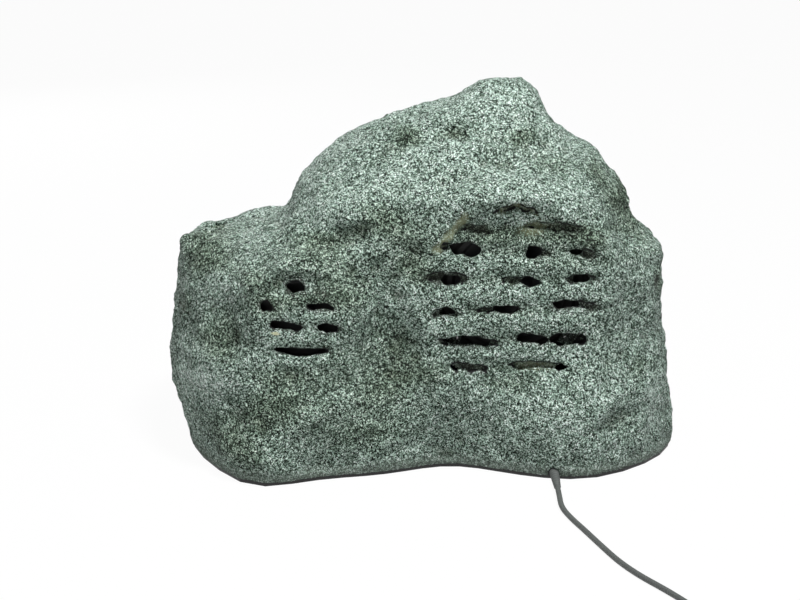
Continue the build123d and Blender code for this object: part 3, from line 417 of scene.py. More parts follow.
print("lip:", int((lip > 0.5).sum()), "points;", len(SWELLS), "swells")

# %% [markdown]
# ## Ledges, hollows, painted shade and painted light
# What the picture shows of this stone in particular is listed: ledges on the roof, the brow above the woofer,
# the valley, an undercut low on the left and a bulge low on the right. Each is a soft bell on the front, in
# millimetres across and up. The same bells place painted shade and painted light, which shift the grains
# darker or lighter, and the mouths of the slots, where the paint is thin and dark, partly as painted shade.
# The woofer's rows of slots also lie in shallow grooves, with painted shade in them.

# %% Marks on the stone
# Across, height, half width, half height, turn in degrees, depth, and the share of it that is a ledge.
DENTS = [
    (-22, 334, 32, 9, 10, 5.0, 0.8),
    (38, 343, 34, 8, -3, 4.5, 0.8),
    (104, 333, 34, 9, -8, 5.0, 0.8),
    (71, 318, 40, 8, 4, 4.0, 0.8),
    (23, 304, 36, 8, 5, 3.5, 0.8),
    (203, 268, 18, 22, 0, 5.0, 0.3),
    (-62, 260, 56, 14, 14, 5.0, 0.7),
    (-110, 222, 70, 18, 0, 5.0, 0.8),
    (-20, 116, 24, 40, 0, 7.5, 0.2),
    (-232, 228, 22, 16, 0, 5.0, 0.8),
    (-194, 151, 26, 20, 0, 4.5, 0.2),
    (-174, 76, 46, 28, -12, 10.0, 0.6),
    (-110, 70, 40, 10, 28, -4.5, 0.0),
    (-226, 86, 30, 30, 0, -9.0, 0.0),
    (228, 75, 24, 36, 0, -6.0, 0.0),
    (140, 54, 62, 26, 0, -8.0, 0.0),
    (194, 66, 32, 14, 8, 3.0, 0.8),
    (-152, 204, 28, 10, 35, 4.0, 0.6),
]
# Across, height, half width, half height, turn, and how strong the painted shade is; below zero it is painted
# light.
PAINTED_SHADE_AND_LIGHT = [
    # On the roof.
    (-15, 335, 17, 7, 5, 0.70),
    (33, 341, 19, 7, 0, 0.50),
    (100, 334, 18, 7, -5, 0.75),
    (-37, 321, 22, 7, 20, 0.35),
    (77, 323, 24, 7, 2, 0.35),
    (128, 310, 28, 9, -12, 0.45),
    (29, 305, 20, 7, 0, 0.25),
    (175, 299, 12, 8, -30, 0.35),
    (70, 340, 130, 50, 0, -0.12),
    # On the right shoulder.
    (206, 269, 15, 11, 0, 0.70),
    (217, 243, 26, 9, -54, 0.50),
    (186, 288, 12, 24, 35, 0.40),
    (243, 185, 8, 14, 0, 0.60),
    # Round the brow.
    (38, 261, 22, 8, 38, 0.45),
    (128, 262, 32, 9, -28, 0.45),
    (165, 246, 20, 9, -45, 0.40),
    (115, 246, 80, 10, 0, 0.55),
    (60, 247, 26, 9, 0, 0.30),
    (96, 262, 22, 6, 0, -0.70),
    (103, 282, 28, 9, -8, -0.40),
    (150, 219, 70, 7, 0, 0.30),
    # Between the two fields, down to the foot.
    (-14, 213, 24, 17, 0, 0.70),
    (-20, 246, 26, 14, 0, 0.40),
    (-4, 151, 14, 18, 0, -0.20),
    (-24, 190, 14, 26, 12, -0.35),
    (-22, 132, 22, 36, 0, 0.20),
    (-62, 124, 52, 34, 0, 0.28),
    (2, 106, 30, 14, 0, 0.45),
    (-42, 88, 24, 16, 0, 0.35),
    # Over the tweeter and round it.
    (-72, 249, 46, 9, 12, 0.35),
    (-104, 258, 26, 9, 8, -0.30),
    (-42, 267, 26, 13, -10, 0.55),
    (-110, 224, 62, 11, 0, 0.25),
    (-148, 208, 26, 11, 15, 0.15),
    (-106, 239, 26, 10, 0, 0.45),
    (-172, 205, 20, 10, 0, 0.40),
    (-90, 202, 26, 24, 0, 0.40),
    (-130, 187, 44, 9, 0, 0.45),
    (-148, 177, 14, 12, 0, 0.30),
    (-170, 178, 18, 16, 0, 0.30),
    (-72, 187, 22, 18, 0, 0.30),
    # On the left side.
    (-225, 212, 30, 12, -8, 0.45),
    (-246, 165, 10, 12, 0, 0.40),
    (-205, 188, 26, 16, 0, -0.30),
    (-214, 142, 22, 17, 0, 0.35),
    (-238, 203, 16, 16, 0, 0.40),
    (-201, 162, 14, 14, 0, 0.35),
    (-206, 132, 22, 18, 0, 0.40),
    (-210, 221, 18, 10, 0, 0.30),
    # Low on the left.
    (-218, 93, 36, 18, -10, -0.80),
    (-172, 77, 44, 22, 0, 0.60),
    (-140, 110, 38, 11, 0, 0.40),
    (-190, 38, 34, 18, -20, 0.60),
    (-80, 60, 60, 40, 0, 0.25),
    (-50, 48, 40, 14, 0, 0.25),
    (-139, 87, 24, 14, 0, 0.25),
    (-192, 97, 20, 10, 0, -0.30),
    # Low on the right.
    (194, 57, 28, 11, 8, 0.35),
    (234, 76, 14, 16, 0, -0.40),
    (140, 58, 40, 11, 0, -0.30),
    (219, 104, 12, 14, 0, 0.45),
    (228, 64, 14, 16, 0, -0.30),
    (90, 97, 32, 11, 6, 0.40),
]
# Mouths of the slots of one field, from its middle: across, up, half length, half height, turn, depth, how
# dark the thin paint and painted shade in it are, and how olive the thin paint is.
WOOFER_MOUTHS = [
    (-11, 79, 15, 6, 24, 1.5, 0.12, 0.6),
    (4, 84, 15, 6, 0, 1.5, 0.12, 0.6),
    (18, 79, 14, 6, -26, 1.5, 0.10, 0.6),
    (-36, 59, 18, 7, -10, 3.0, 0.60, 0.1),
    (20, 61, 22, 12, 6, 2.5, 0.22, 0.70),
    (54, 61, 24, 11, -3, 2.5, 0.44, 0.35),
    (-46, 39, 17, 10, -6, 3.0, 0.8, 0.0),
    (24, 36, 19, 9, -6, 2.5, 0.75, 0.1),
    (70, 36, 20, 8, -3, 2.5, 0.75, 0.0),
    (-65.6, 10, 25, 8, -3, 3.0, 0.9, 0.0),
    (6, 7, 20, 6, -2, 2.5, 0.65, 0.3),
    (69, 9.4, 20, 7, 0, 2.5, 0.8, 0.0),
    (-68, -25.5, 17, 7, 2, 2.5, 0.8, 0.0),
    (-14, -22, 26, 5.5, 1, 2.5, 0.8, 0.1),
    (53, -16.5, 19, 7, 6, 2.5, 0.8, 0.0),
    (76, -18, 16, 7, -12, 2.5, 0.75, 0.0),
    (-43.5, -55.5, 34, 8, -2, 3.0, 0.9, 0.0),
    (21, -52, 19, 8, -5, 2.5, 0.9, 0.0),
    (57, -52.5, 23, 9, 2, 2.5, 0.9, 0.0),
    (-43.7, -82, 22, 7, -6, 2.5, 0.70, 0.1),
    (26.5, -81, 35, 6.5, -2, 2.5, 0.35, 0.65),
]
TWEETER_MOUTHS = [
    (-4, 29.5, 14, 10, 0, 2.5, 0.85, 0.1),
    (21, 25, 16, 9, -20, 1.0, 0.5, 0.35),
    (-32.5, 10.3, 10, 9, 0, 2.5, 0.85, 0.0),
    (18, 9.7, 20, 6, 0, 2.5, 0.85, 0.1),
    (-13, -9.3, 21, 7, -10, 2.5, 0.85, 0.0),
    (27, -11.6, 15, 7, 0, 2.5, 0.85, 0.0),
    (1.6, -35, 31, 5.5, 0, 2.5, 0.80, 0.0),
]
# Two cracks at the sides, in the same terms but from the origin.
CRACKS = [
    (239, 184, 6, 9, 0, 3.0, 0.6, 0.3),
    (-250, 158, 9, 10, 0, 3.0, 0.45, 0.5),
]
ORIGIN = np.zeros(2)
# The grooves of the woofer's rows: up, half length, and how strong the painted shade in them is.
WOOFER_ROWS = [
    (60, 58, 0.15),
    (37, 70, 0.25),
    (9, 80, 0.30),
    (-22, 80, 0.30),
    (-53, 74, 0.25),
    (-81, 56, 0.20),
]
GROOVE_HALF = 8
GROOVE_DEPTH = 2.8
GROOVE_SHADE_HALF = 7
for up, wide, shade_strength in WOOFER_ROWS:
    WOOFER_MOUTHS.append((0, up, wide, GROOVE_HALF, 0, GROOVE_DEPTH, 0.0, 0.0))
    PAINTED_SHADE_AND_LIGHT.append((WOOFER[0] / MM, WOOFER[1] / MM + up, wide, GROOVE_SHADE_HALF, 0, shade_strength))
# An olive streak down the brow's left end, from its top to its foot, and a pale chip beside the tweeter.
STREAK = np.array([[0.040, 0.266], [0.012, 0.233]])
STREAK_HALF = 0.010
STREAK_SHARE = 0.88
CHIP = (-148, 154, 6, 2.2, -8)
print("marks:", len(DENTS), "dents,", len(PAINTED_SHADE_AND_LIGHT), "painted_shade_marks,", len(WOOFER_ROWS), "grooves")

# %% [markdown]
# ## Pressing the marks in
# A ledge is a bell times the height in it, so its upper half comes forward and its lower half goes back.
# Round the slots the whole wall is pressed in, both faces, so that it keeps its thickness, and the upper
# part of each field lies deeper still. The edges of the slots waver, the same way through the whole wall.
# At last every point is kept inside the box of all the solids.

# %% Dents
LEDGE_SLOPE = 2.2
# How far a face turns to the front to count in full, and how far forward an inner face lies to count.
FACING_FULL = 0.35
INNER_FROM = 0.02
INNER_FULL = 0.06
# Depth in millimetres, where the deeper part fades out from the field's middle, and where it sets in upwards.
WOOFER_POCKET = (9.0, (0.062, 0.100), (0.165, 0.262))
TWEETER_POCKET = (3.0, (0.034, 0.056), (0.160, 0.205))
FIELD_EDGE = 0.016
WALL_BACK = 0.104
WALL_FRONT = 0.112
SHAKE = 0.0024
SHAKE_SCALE = 105
ELSEWHERE = Vector((31, 17, 5))
BOX_MARGIN = 2e-4


def bell(across, up, wide, high, turn):
    """A soft bell on the front, with how far up it each point lies."""
    turn = math.radians(turn)
    dx = face_on[:, 0] - across * MM
    dz = face_on[:, 1] - up * MM
    u = (dx * math.cos(turn) + dz * math.sin(turn)) / (wide * MM)
    v = (dz * math.cos(turn) - dx * math.sin(turn)) / (high * MM)
    return np.exp(-u * u - v * v), v


facing = fade(-normals[:, 1], 0.0, FACING_FULL) * outer
behind = fade(normals[:, 1], 0.0, FACING_FULL) * (1 - outer) * fade(-points[:, 1], INNER_FROM, INNER_FULL)
pressed = np.zeros(count)
for across, up, wide, high, turn, depth, ledge in DENTS:
    hump, v = bell(across, up, wide, high, turn)
    pressed += depth * MM * hump * ((1 - ledge) - ledge * LEDGE_SLOPE * v)
points += normals * (pressed * (behind - facing))[:, None]
mouths = np.zeros(count)
# How dark each mouth is: thin paint and painted shade.
dark = np.zeros(count)
olive = np.zeros(count)
for field, rows in ((WOOFER, WOOFER_MOUTHS), (TWEETER, TWEETER_MOUTHS), (ORIGIN, CRACKS)):
    for across, up, wide, high, turn, depth, darkness_and_shade, oliveness in rows:
        hump = bell(field[0] / MM + across, field[1] / MM + up, wide, high, turn)[0]
        mouths = np.maximum(mouths, depth * MM * hump)
        dark = np.maximum(dark, darkness_and_shade * hump)
        olive = np.maximum(olive, oliveness * hump)
pocket = np.zeros(count)
for distance, (depth, outwards, upwards) in ((from_woofer, WOOFER_POCKET), (from_tweeter, TWEETER_POCKET)):
    pocket += depth * MM * (1 - fade(distance, *outwards)) * fade(face_on[:, 1], *upwards)
beside = np.minimum(from_woofer - WOOFER_FIELD, from_tweeter - TWEETER_FIELD)
in_wall = front * (1 - fade(beside, 0.0, FIELD_EDGE)) * fade(-points[:, 1], WALL_BACK, WALL_FRONT)
points[:, 1] += (mouths + pocket) * np.maximum(in_wall, facing)
for i in np.nonzero(in_wall > 0.02)[0]:
    flat_place = Vector((points[i, 0], 0.0, points[i, 2])) * SHAKE_SCALE
    points[i, 0] += SHAKE * in_wall[i] * noise.noise(flat_place)
    points[i, 2] += SHAKE * in_wall[i] * noise.noise(flat_place + ELSEWHERE)
points[:] = np.clip(points, np.array(cad_low) + BOX_MARGIN, np.array(cad_high) - BOX_MARGIN)
normals = point_normals()
print("dents up to", round(float(np.abs(pressed).max()) / MM, 1), "mm")
print("mouths up to", round(float(mouths.max()) / MM, 1), "mm")

# %% [markdown]
# ## Values for the paint, and thinning
# The paint has to know where the stone is hollow, where painted shade and light go, where the paint is thin
# or chipped, and where it is outside at all.
# Each of these is stored on the mesh's points as a named value. The mesh is then thinned. Weights say
# where: most inside, less on the back, little on the front and least round the slots.

# %% Paint values and thinning
BLUR_STEPS = 40
BLUR_STEP = 0.6
# Towards the back the marks on the front fade out between these places.
AHEAD_FULL = 0.02
AHEAD_END = 0.06
# The weight inside, and how much less it is on the front, on the back and round the slots.
THIN_INSIDE = 0.9
SPARED_FRONT = 0.6
SPARED_BACK = 0.3
SPARED_SLOTS = 0.3
SLOTS_REACH = 0.02
KEPT_SHARE = 0.31
soft = points.copy()
for _ in range(BLUR_STEPS):
    soft += (neighbours_mean(soft) - soft) * BLUR_STEP
relief = ((points - soft) * normals).sum(1)
# Painted shade and painted light, from the marks' bells.
wash = np.zeros(count)
for across, up, wide, high, turn, shade_strength in PAINTED_SHADE_AND_LIGHT:
    wash += shade_strength * bell(across, up, wide, high, turn)[0]
streak_way = STREAK[1] - STREAK[0]
down_streak = np.clip((face_on - STREAK[0]) @ streak_way / (streak_way @ streak_way), 0, 1)
off_streak = np.linalg.norm(face_on - STREAK[0] - down_streak[:, None] * streak_way, axis=1)
olive = np.maximum(olive, STREAK_SHARE * (1 - fade(off_streak, 0.0, STREAK_HALF)))
chip = bell(*CHIP)[0]
ahead = 1 - fade(points[:, 1], AHEAD_FULL, AHEAD_END)
stored = {
    "relief": relief / MM,
    "dark": dark * ahead,
    "olive": olive * ahead,
    "chip": chip * ahead,
    "wash": wash * ahead,
    "painted": outer,
}
for value_name, values in stored.items():
    rock.data.attributes.new(value_name, "FLOAT", "POINT").data.foreach_set("value", values)
spared = np.where(points[:, 1] < AHEAD_FULL, SPARED_FRONT, SPARED_BACK)
by_slots = outer * SPARED_SLOTS * (1 - fade(beside, 0.0, SLOTS_REACH)) * front
weights = (THIN_INSIDE - outer * spared - by_slots).round(1)
thinned = rock.vertex_groups.new(name="thin")
for weight in np.unique(weights):
    thinned.add([int(i) for i in np.nonzero(weights == weight)[0]], float(max(weight, 0.0)), "REPLACE")
thin = rock.modifiers.new("thin", "DECIMATE")
thin.ratio = KEPT_SHARE
thin.vertex_group = "thin"
thin.vertex_group_factor = 1e-4
apply_modifiers(rock)
rock.data.name = "rock"
rock.data.shade_smooth()
rock.data.calc_loop_triangles()
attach(rock, "root")
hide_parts("rock_shell")
print("rock:", len(rock.data.loop_triangles), "triangles; relief", round(relief.min() / MM, 1), "to",
      round(relief.max() / MM, 1), "mm")

# %% [markdown]
# ## The granite finish
# The casting is coloured like grey green granite: grains of about one and two millimetres, from near black to
# mint white. Cell noise gives every grain one shade of its own, a little warping breaks the straight cell
# edges, painted shade pulls the shades down where it is marked, and painted light lifts them where the mark
# is below zero. The creases of the relief are darkened as painted shade. In the slots' mouths the paint is
# thin and turns dark or olive, ragged at the edge and with some grains still showing; the dark there is
# partly painted shade. The rim at the foot is worn to a flatter grey, and the inside is bare resin, darkened
# to near black as painted shade.

# %% Granite
# Scales are per metre.
STIR_SCALE = 700.0
STIR_REACH = 0.0013
COARSE_SCALE = 430.0
COARSE_SHARE = 0.28
FINE_SCALE = 950.0
FINE_SHARE = 0.72
CLOUD_SCALE = 38.0
CLOUD_SHARE = 0.25
# How far the painted shade and painted light shift the grains.
PAINTED_SHADE_SHIFT = 0.22
RAGGED_SCALE = 210.0
RAGGED_SHARE = 0.7
GRAINS = [
    (0.14, paint(11, 17, 12)),
    (0.33, paint(45, 58, 47)),
    (0.50, paint(101, 122, 108)),
    (0.66, paint(163, 188, 173)),
    (0.82, paint(221, 241, 231)),
    (0.94, paint(244, 253, 249)),
]
WORN_RIM = paint(112, 122, 113)
# Tint of the painted shade from the marks.
PAINTED_SHADE_TINT = (0.97, 0.94, 0.82)
# Tint of the painted shade in the creases of the relief.
CREASE_SHADE_TINT = (0.36, 0.36, 0.29)
THIN_OLIVE = paint(142, 147, 113)
# Thin paint and painted shade in the slots' mouths.
THIN_PAINT_AND_SHADE = paint(40, 42, 37)
CHIPPED = paint(214, 216, 178)
# Bare resin inside, darkened to near black as painted shade.
BARE_RESIN_AND_SHADE = paint(24, 25, 25)
GRANITE_BUMP = 0.5
GRANITE_DEPTH = 0.0010
granite = Finish("granite_resin")


def from_rock(value_name):
    """One of the values stored on the rock's points."""
    return granite.node("Attribute", {"attribute_name": value_name}, None, "Fac")


here = granite.place()
stir = granite.node("TexNoise", None, {"Vector": here, "Scale": STIR_SCALE, "Detail": 1.0}, "Color")
stirred = granite.node("VectorMath", {"operation": "MULTIPLY_ADD"}, {0: stir, 1: (STIR_REACH,) * 3, 2: here})
coarse = granite.node("TexVoronoi", None, {"Vector": stirred, "Scale": COARSE_SCALE}, "Color")
fine = granite.node("TexVoronoi", None, {"Vector": stirred, "Scale": FINE_SCALE}, "Color")
coarse_shade = granite.node("SeparateColor", None, {0: coarse}, 0)
fine_shade = granite.node("SeparateColor", None, {0: fine}, 1)
cloud_noise = {"Vector": here, "Scale": CLOUD_SCALE, "Detail": 4.0, "Roughness": 0.6}
clouds = granite.node("TexNoise", None, cloud_noise)
shade = coarse_shade * COARSE_SHARE + fine_shade * FINE_SHARE + (clouds - 0.5) * CLOUD_SHARE
# Painted shade and painted light: the marks shift the grains darker, or lighter where they are below zero.
speckle = granite.ramp(shade - from_rock("wash") * PAINTED_SHADE_SHIFT, GRAINS)
above_ground = granite.node("SeparateXYZ", None, {0: here}, 2)
edge_noise = granite.node("TexNoise", None, {"Vector": here, "Scale": RAGGED_SCALE, "Detail": 3.0})
ragged = (edge_noise - 0.5) * RAGGED_SHARE
grain_shows = 1.3 - fine_shade * 0.6
# Each mask closes between two limits, and most are then held to a share.
at_rim = (1 - granite.close(above_ground, 0.006, 0.020)) * 0.55
# Painted shade: where the marks are strong the colour is also tinted darker.
shade_tint_share = granite.close(from_rock("wash"), 0.0, 0.8) * 0.6
# Painted shade in the creases of the relief.
crease_shade = granite.close(from_rock("relief") * -1.0, 0.2, 2.6) * 0.75
olive_share = granite.close(from_rock("olive") * grain_shows + ragged * 0.6, 0.30, 0.95) * 0.75
# The mouths' dark is thin paint and painted shade.
thin_paint_and_shade_share = granite.close(from_rock("dark") * grain_shows + ragged * 0.6, 0.15, 0.75) * 0.9
chip_share = granite.close(from_rock("chip") + ragged, 0.35, 0.70) * 0.85
is_painted = granite.close(from_rock("painted"), 0.15, 0.6)
tinted = granite.mix(at_rim, speckle, WORN_RIM)
tinted = granite.mix(shade_tint_share, tinted, PAINTED_SHADE_TINT, "MULTIPLY")
tinted = granite.mix(crease_shade, tinted, CREASE_SHADE_TINT, "MULTIPLY")
tinted = granite.mix(olive_share, tinted, THIN_OLIVE)
tinted = granite.mix(thin_paint_and_shade_share, tinted, THIN_PAINT_AND_SHADE)
tinted = granite.mix(chip_share, tinted, CHIPPED)
# Inside the rock: bare resin, darkened to near black as painted shade.
tinted = granite.mix(is_painted, BARE_RESIN_AND_SHADE, tinted)
granite_bump = coarse_shade * 0.5 + fine_shade * 0.5 + clouds * 0.5
granite_skin = granite.finished(
    {"Base Color": tinted, "Roughness": 0.92 - coarse_shade * 0.25, "Specular IOR Level": 0.3},
    granite_bump, GRANITE_BUMP, GRANITE_DEPTH)
rock.data.materials.clear()
rock.data.materials.append(granite_skin)
print("granite:", len(granite.tree.nodes), "nodes")

# %% [markdown]
# ## Finishes for everything else
# The record names a finish and a base colour for every node. Each slot gets its own material from them: a
# base colour that drifts a little, a roughness that drifts with it and a fine bump. Wire gets windings and
# cloth gets a weave. One of the cable's two cores is black, and the other has the record's colour.

# %% Finishes by slot
# The picture has these darker than the record: the cable and the base, partly their own colour and partly
# painted shade, and what shows through the slots, as painted shade.
SHADE_TONES = {
    "cable_sheath": 0.42,
    "black_plastic": 0.50,
    "frame_paint": 0.50,
    "cone_plastic": 0.50,
    "black_rubber": 0.50,
}
# Roughness, metal, size of the mottling per metre, its share of the colour, bump.
SURFACES = {
    "black_plastic": (0.45, 0.0, 260.0, 0.35, 0.15),
    "black_rubber": (0.75, 0.0, 420.0, 0.30, 0.20),
    "screw_steel": (0.32, 1.0, 500.0, 0.20, 0.10),
    "frame_paint": (0.40, 0.0, 700.0, 0.30, 0.30),
    "cone_plastic": (0.50, 0.0, 160.0, 0.25, 0.15),
    "motor_steel": (0.35, 1.0, 300.0, 0.20, 0.10),
    "ferrite": (0.70, 0.0, 900.0, 0.35, 0.35),
    "board": (0.40, 0.0, 350.0, 0.25, 0.10),
    "nylon": (0.40, 0.0, 200.0, 0.06, 0.08),
    "capacitor_film": (0.25, 0.0, 120.0, 0.20, 0.05),
    "resistor_body": (0.80, 0.0, 1200.0, 0.15, 0.40),
    "terminal_block": (0.30, 0.0, 250.0, 0.25, 0.08),
    "lead_sheath": (0.45, 0.0, 300.0, 0.25, 0.10),
    "cable_sheath": (0.55, 0.0, 350.0, 0.22, 0.12),
}
# Ways of the bands, bands per metre, their share of the colour, roughness, metal.
WEAVES = {
    "copper_wire": ("Z", 420.0, 0.55, 0.28, 1.0),
    "spider_cloth": ("XZ", 360.0, 0.45, 0.80, 0.0),
    "dome_cloth": ("XZ", 500.0, 0.50, 0.65, 0.0),
}
SKIN_DEPTH = 0.0004
WEAVE_BUMP = 0.5
# The two cores lie side by side, and the black one ends between these places across.
CORES_PART = (0.1978, 0.1982)
CORE_BLACK = (0.02, 0.02, 0.02)
CORE_BUMP = 0.1
CORE_DEPTH = 0.0005
base = {entry["slot"]: entry["base_color"] for entry in frame["record"]["materials"]}
for slot_name, shade_tone in SHADE_TONES.items():
    base[slot_name] = [c * shade_tone for c in base[slot_name]]


def mottled(name):
    """A finish whose colour and roughness drift together."""
    roughness, metal, scale, share, bump = SURFACES[name]
    finish = Finish(name)
    settings = {"Vector": finish.place(), "Scale": scale, "Detail": 4.0, "Roughness": 0.6}
    drift = finish.node("TexNoise", None, settings)
    darker = [c * (1 - share) for c in base[name]]
    lighter = [min(c * (1 + share), 1.0) for c in base[name]]
    sockets = {
        "Base Color": finish.mix(drift, darker, lighter),
        "Roughness": roughness + (drift - 0.5) * 0.25,
        "Metallic": metal,
    }
    return finish.finished(sockets, drift, bump, SKIN_DEPTH)


def banded(name):
    """A finish in fine bands: turns of wire or threads of cloth."""
    ways, scale, share, roughness, metal = WEAVES[name]
    finish = Finish(name)
    settings = {"Vector": finish.place(), "Scale": scale, "Distortion": 0.4}
    bands = finish.node("TexWave", {"bands_direction": ways[0]}, settings)
    for way in ways[1:]:
        bands = bands * finish.node("TexWave", {"bands_direction": way}, settings)
    sockets = {
        "Base Color": finish.mix(bands, [c * (1 - share) for c in base[name]], base[name]),
        "Roughness": roughness + (1 - bands) * 0.2,
        "Metallic": metal,
    }
    return finish.finished(sockets, bands, WEAVE_BUMP, SKIN_DEPTH)


def two_cores(name):
    """The sheaths of the cable's two cores."""
    finish = Finish(name)
    across_cores = finish.node("SeparateXYZ", None, {0: finish.place()}, 0)
    drift = finish.node("TexNoise", None, {"Vector": finish.place(), "Scale": 300.0})
    colour = finish.mix(finish.close(across_cores, *CORES_PART), CORE_BLACK, base[name])
    sockets = {"Base Color": colour, "Roughness": 0.35 + drift * 0.2}
    return finish.finished(sockets, drift, CORE_BUMP, CORE_DEPTH)


finishes = {slot_name: mottled(slot_name) for slot_name in SURFACES}
for slot_name in WEAVES:
    finishes[slot_name] = banded(slot_name)
finishes["core_sheath"] = two_cores("core_sheath")
slots = {entry["node"]: entry["material_slot"] for entry in frame["record"]["subparts"]}
for node_name, node in nodes.items():
    if slots[node_name] in finishes:
        node.data.materials.clear()
        node.data.materials.append(finishes[slots[node_name]])
print("finishes:", len(finishes) + 1, "for", len(nodes), "nodes")

# %% [markdown]
# ## Broken edges
# No made part has a knife edge. The solids are plain, so the plates, magnets, blocks and screws get a
# narrow bevel here, as a modifier on the node itself.

# %% Broken edges
# Width in millimetres.
BROKEN = {
    "base_plate": 0.8,
    "woofer_magnet": 1.0,
    "woofer_top_plate": 0.6,
    "woofer_yoke": 0.8,
    "woofer_terminals": 0.4,
    "tweeter_faceplate": 0.8,
    "tweeter_magnet": 0.8,
    "tweeter_back_plate": 0.6,
    "tweeter_terminals": 0.3,
    "crossover_board": 0.2,
    "crossover_standoffs": 0.4,
    "crossover_capacitor": 1.2,
    "crossover_resistor": 0.6,
    "crossover_terminals": 0.6,
    "crossover_screws": 0.3,
    "cable_clamp": 0.7,
    "clamp_screws": 0.3,
    "woofer_screws": 0.3,
    "tweeter_screws": 0.3,
    "base_screws": 0.3,
    "cable_tie": 0.4,
}
SHARP_ANGLE = 50
for node_name, width in BROKEN.items():
    bevel = nodes[node_name].modifiers.new("broken_edges", "BEVEL")
    bevel.width = width * MM
    bevel.segments = 2
    bevel.limit_method = "ANGLE"
    bevel.angle_limit = math.radians(SHARP_ANGLE)
print("bevelled:", len(BROKEN), "nodes")

# %% [markdown]
# ## The cable
# A two core loudspeaker lead leaves the boot at the rock's foot, drops to the ground and runs to the
# viewer in one loose bend. Out of the picture the rest is put away in a flat coil. A cord is a curve with
# a round bevel: a NURBS spline along a few route points gives the soft line of a real lead, while
# straight runs would look like bent wire. The coil's turns are more points of the same spline. Where they
# cross the tie they lie a little higher.

# %% Cable line
CABLE_RADIUS = 0.00275
EXIT = (0.132, -0.1893, 0.00655)
ROUTE = [
    EXIT,
    (0.132, -0.2113, 0.00655),
    (0.132, -0.2368, 0.0036),
    (0.1391, -0.2637, 0.0028),
    (0.149, -0.2937, 0.0028),
    (0.161, -0.3327, 0.0028),
    (0.173, -0.3698, 0.0028),
    (0.188, -0.4018, 0.0028),
    (0.206, -0.4317, 0.003),
    (0.222, -0.462, 0.0031),
    (0.2342, -0.492, 0.0031),
]
COIL_X = 0.198
COIL_Y = -0.526
COIL_Z = 0.0029
COIL_RADIUS = 0.0384
TURN_PITCH = 0.0057
STEPS_PER_TURN = 16
COIL_STEPS = 40
FULL_WIDTH_TURN = 0.25
TIE_RISE = 0.0013
TIE_REACH = 0.25
TURNED_IN = [
    (0.1724, -0.5170, 0.0038),
    (0.1728, -0.5060, 0.0034),
    (0.1802, -0.4990, 0.0034),
    (0.1905, -0.4990, 0.0036),
    (0.1978, -0.5062, 0.0041),
    (0.198, -0.5116, 0.00425),
]
SPLINE_STEPS = 6
coil = []
for step in range(COIL_STEPS + 1):
    angle = -2 * math.pi * step / STEPS_PER_TURN
    coil_radius = COIL_RADIUS - TURN_PITCH * max(step / STEPS_PER_TURN - FULL_WIDTH_TURN, 0)
    on_tie = math.exp(-((math.cos(angle) + 1) / TIE_REACH) ** 2)
    coil_x = COIL_X + coil_radius * math.cos(angle)
    coil_y = COIL_Y + coil_radius * math.sin(angle)
    coil.append((coil_x, coil_y, COIL_Z + TIE_RISE * on_tie))
cable_points = ROUTE + coil + TURNED_IN
cable_data = bpy.data.curves.new("cable", "CURVE")
cable_data.dimensions = "3D"
cable_data.bevel_depth = CABLE_RADIUS
cable_data.bevel_resolution = 5
cable_data.resolution_u = SPLINE_STEPS
cable_data.use_fill_caps = True
cable_data.materials.append(finishes["cable_sheath"])
line = cable_data.splines.new("NURBS")
line.points.add(len(cable_points) - 1)
for point, place in zip(line.points, cable_points):
    point.co = (*place, 1.0)
line.order_u = 3
line.use_endpoint_u = True
cable = bpy.data.objects.new("cable", cable_data)
scene.collection.objects.link(cable)
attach(cable, "root")
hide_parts("cable_run", "cable_coil")

# %% [markdown]
# ## The boot, the inductor and the bare ends
# A strain relief boot is a turned part with grooves that let it bend, so its outline is spun about the
# cable. The inductor is a coil of round wire: its section is a closed row of scallops, one for each turn,
# spun about the board's upright. The bare ends are bundles of thin twisted strands.

# %% Turned pieces, the boot first
def turned(name, outline, middle, axis, side, steps, slot, node, closed):
    """Spins an outline of (along, out) points about an axis and stands it in for a node."""
    middle, axis, side = Vector(middle), Vector(axis), Vector(side)
    shape = bmesh.new()
    row = [shape.verts.new(middle + axis * along + side * out) for along, out in outline]
    edges = [shape.edges.new(pair) for pair in zip(row, row[1:])]
    if closed:
        edges.append(shape.edges.new((row[-1], row[0])))
    bmesh.ops.spin(shape, geom=row + edges, cent=middle, axis=axis, angle=2 * math.pi, steps=steps,
                   use_merge=True)
    bmesh.ops.remove_doubles(shape, verts=shape.verts, dist=1e-6)
    bmesh.ops.recalc_face_normals(shape, faces=shape.faces)
    mesh = bpy.data.meshes.new(name)
    shape.to_mesh(mesh)
    shape.free()
    mesh.shade_smooth()
    mesh.materials.append(finishes[slot])
    piece = bpy.data.objects.new(name, mesh)
    scene.collection.objects.link(piece)
    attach(piece, "root")
    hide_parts(node)
    return piece


BOOT_NECK = 0.010
BOOT_EDGE = 0.0004
BOOT_TIP_RADIUS = 0.0035
BOOT_END_RADIUS = 0.0031
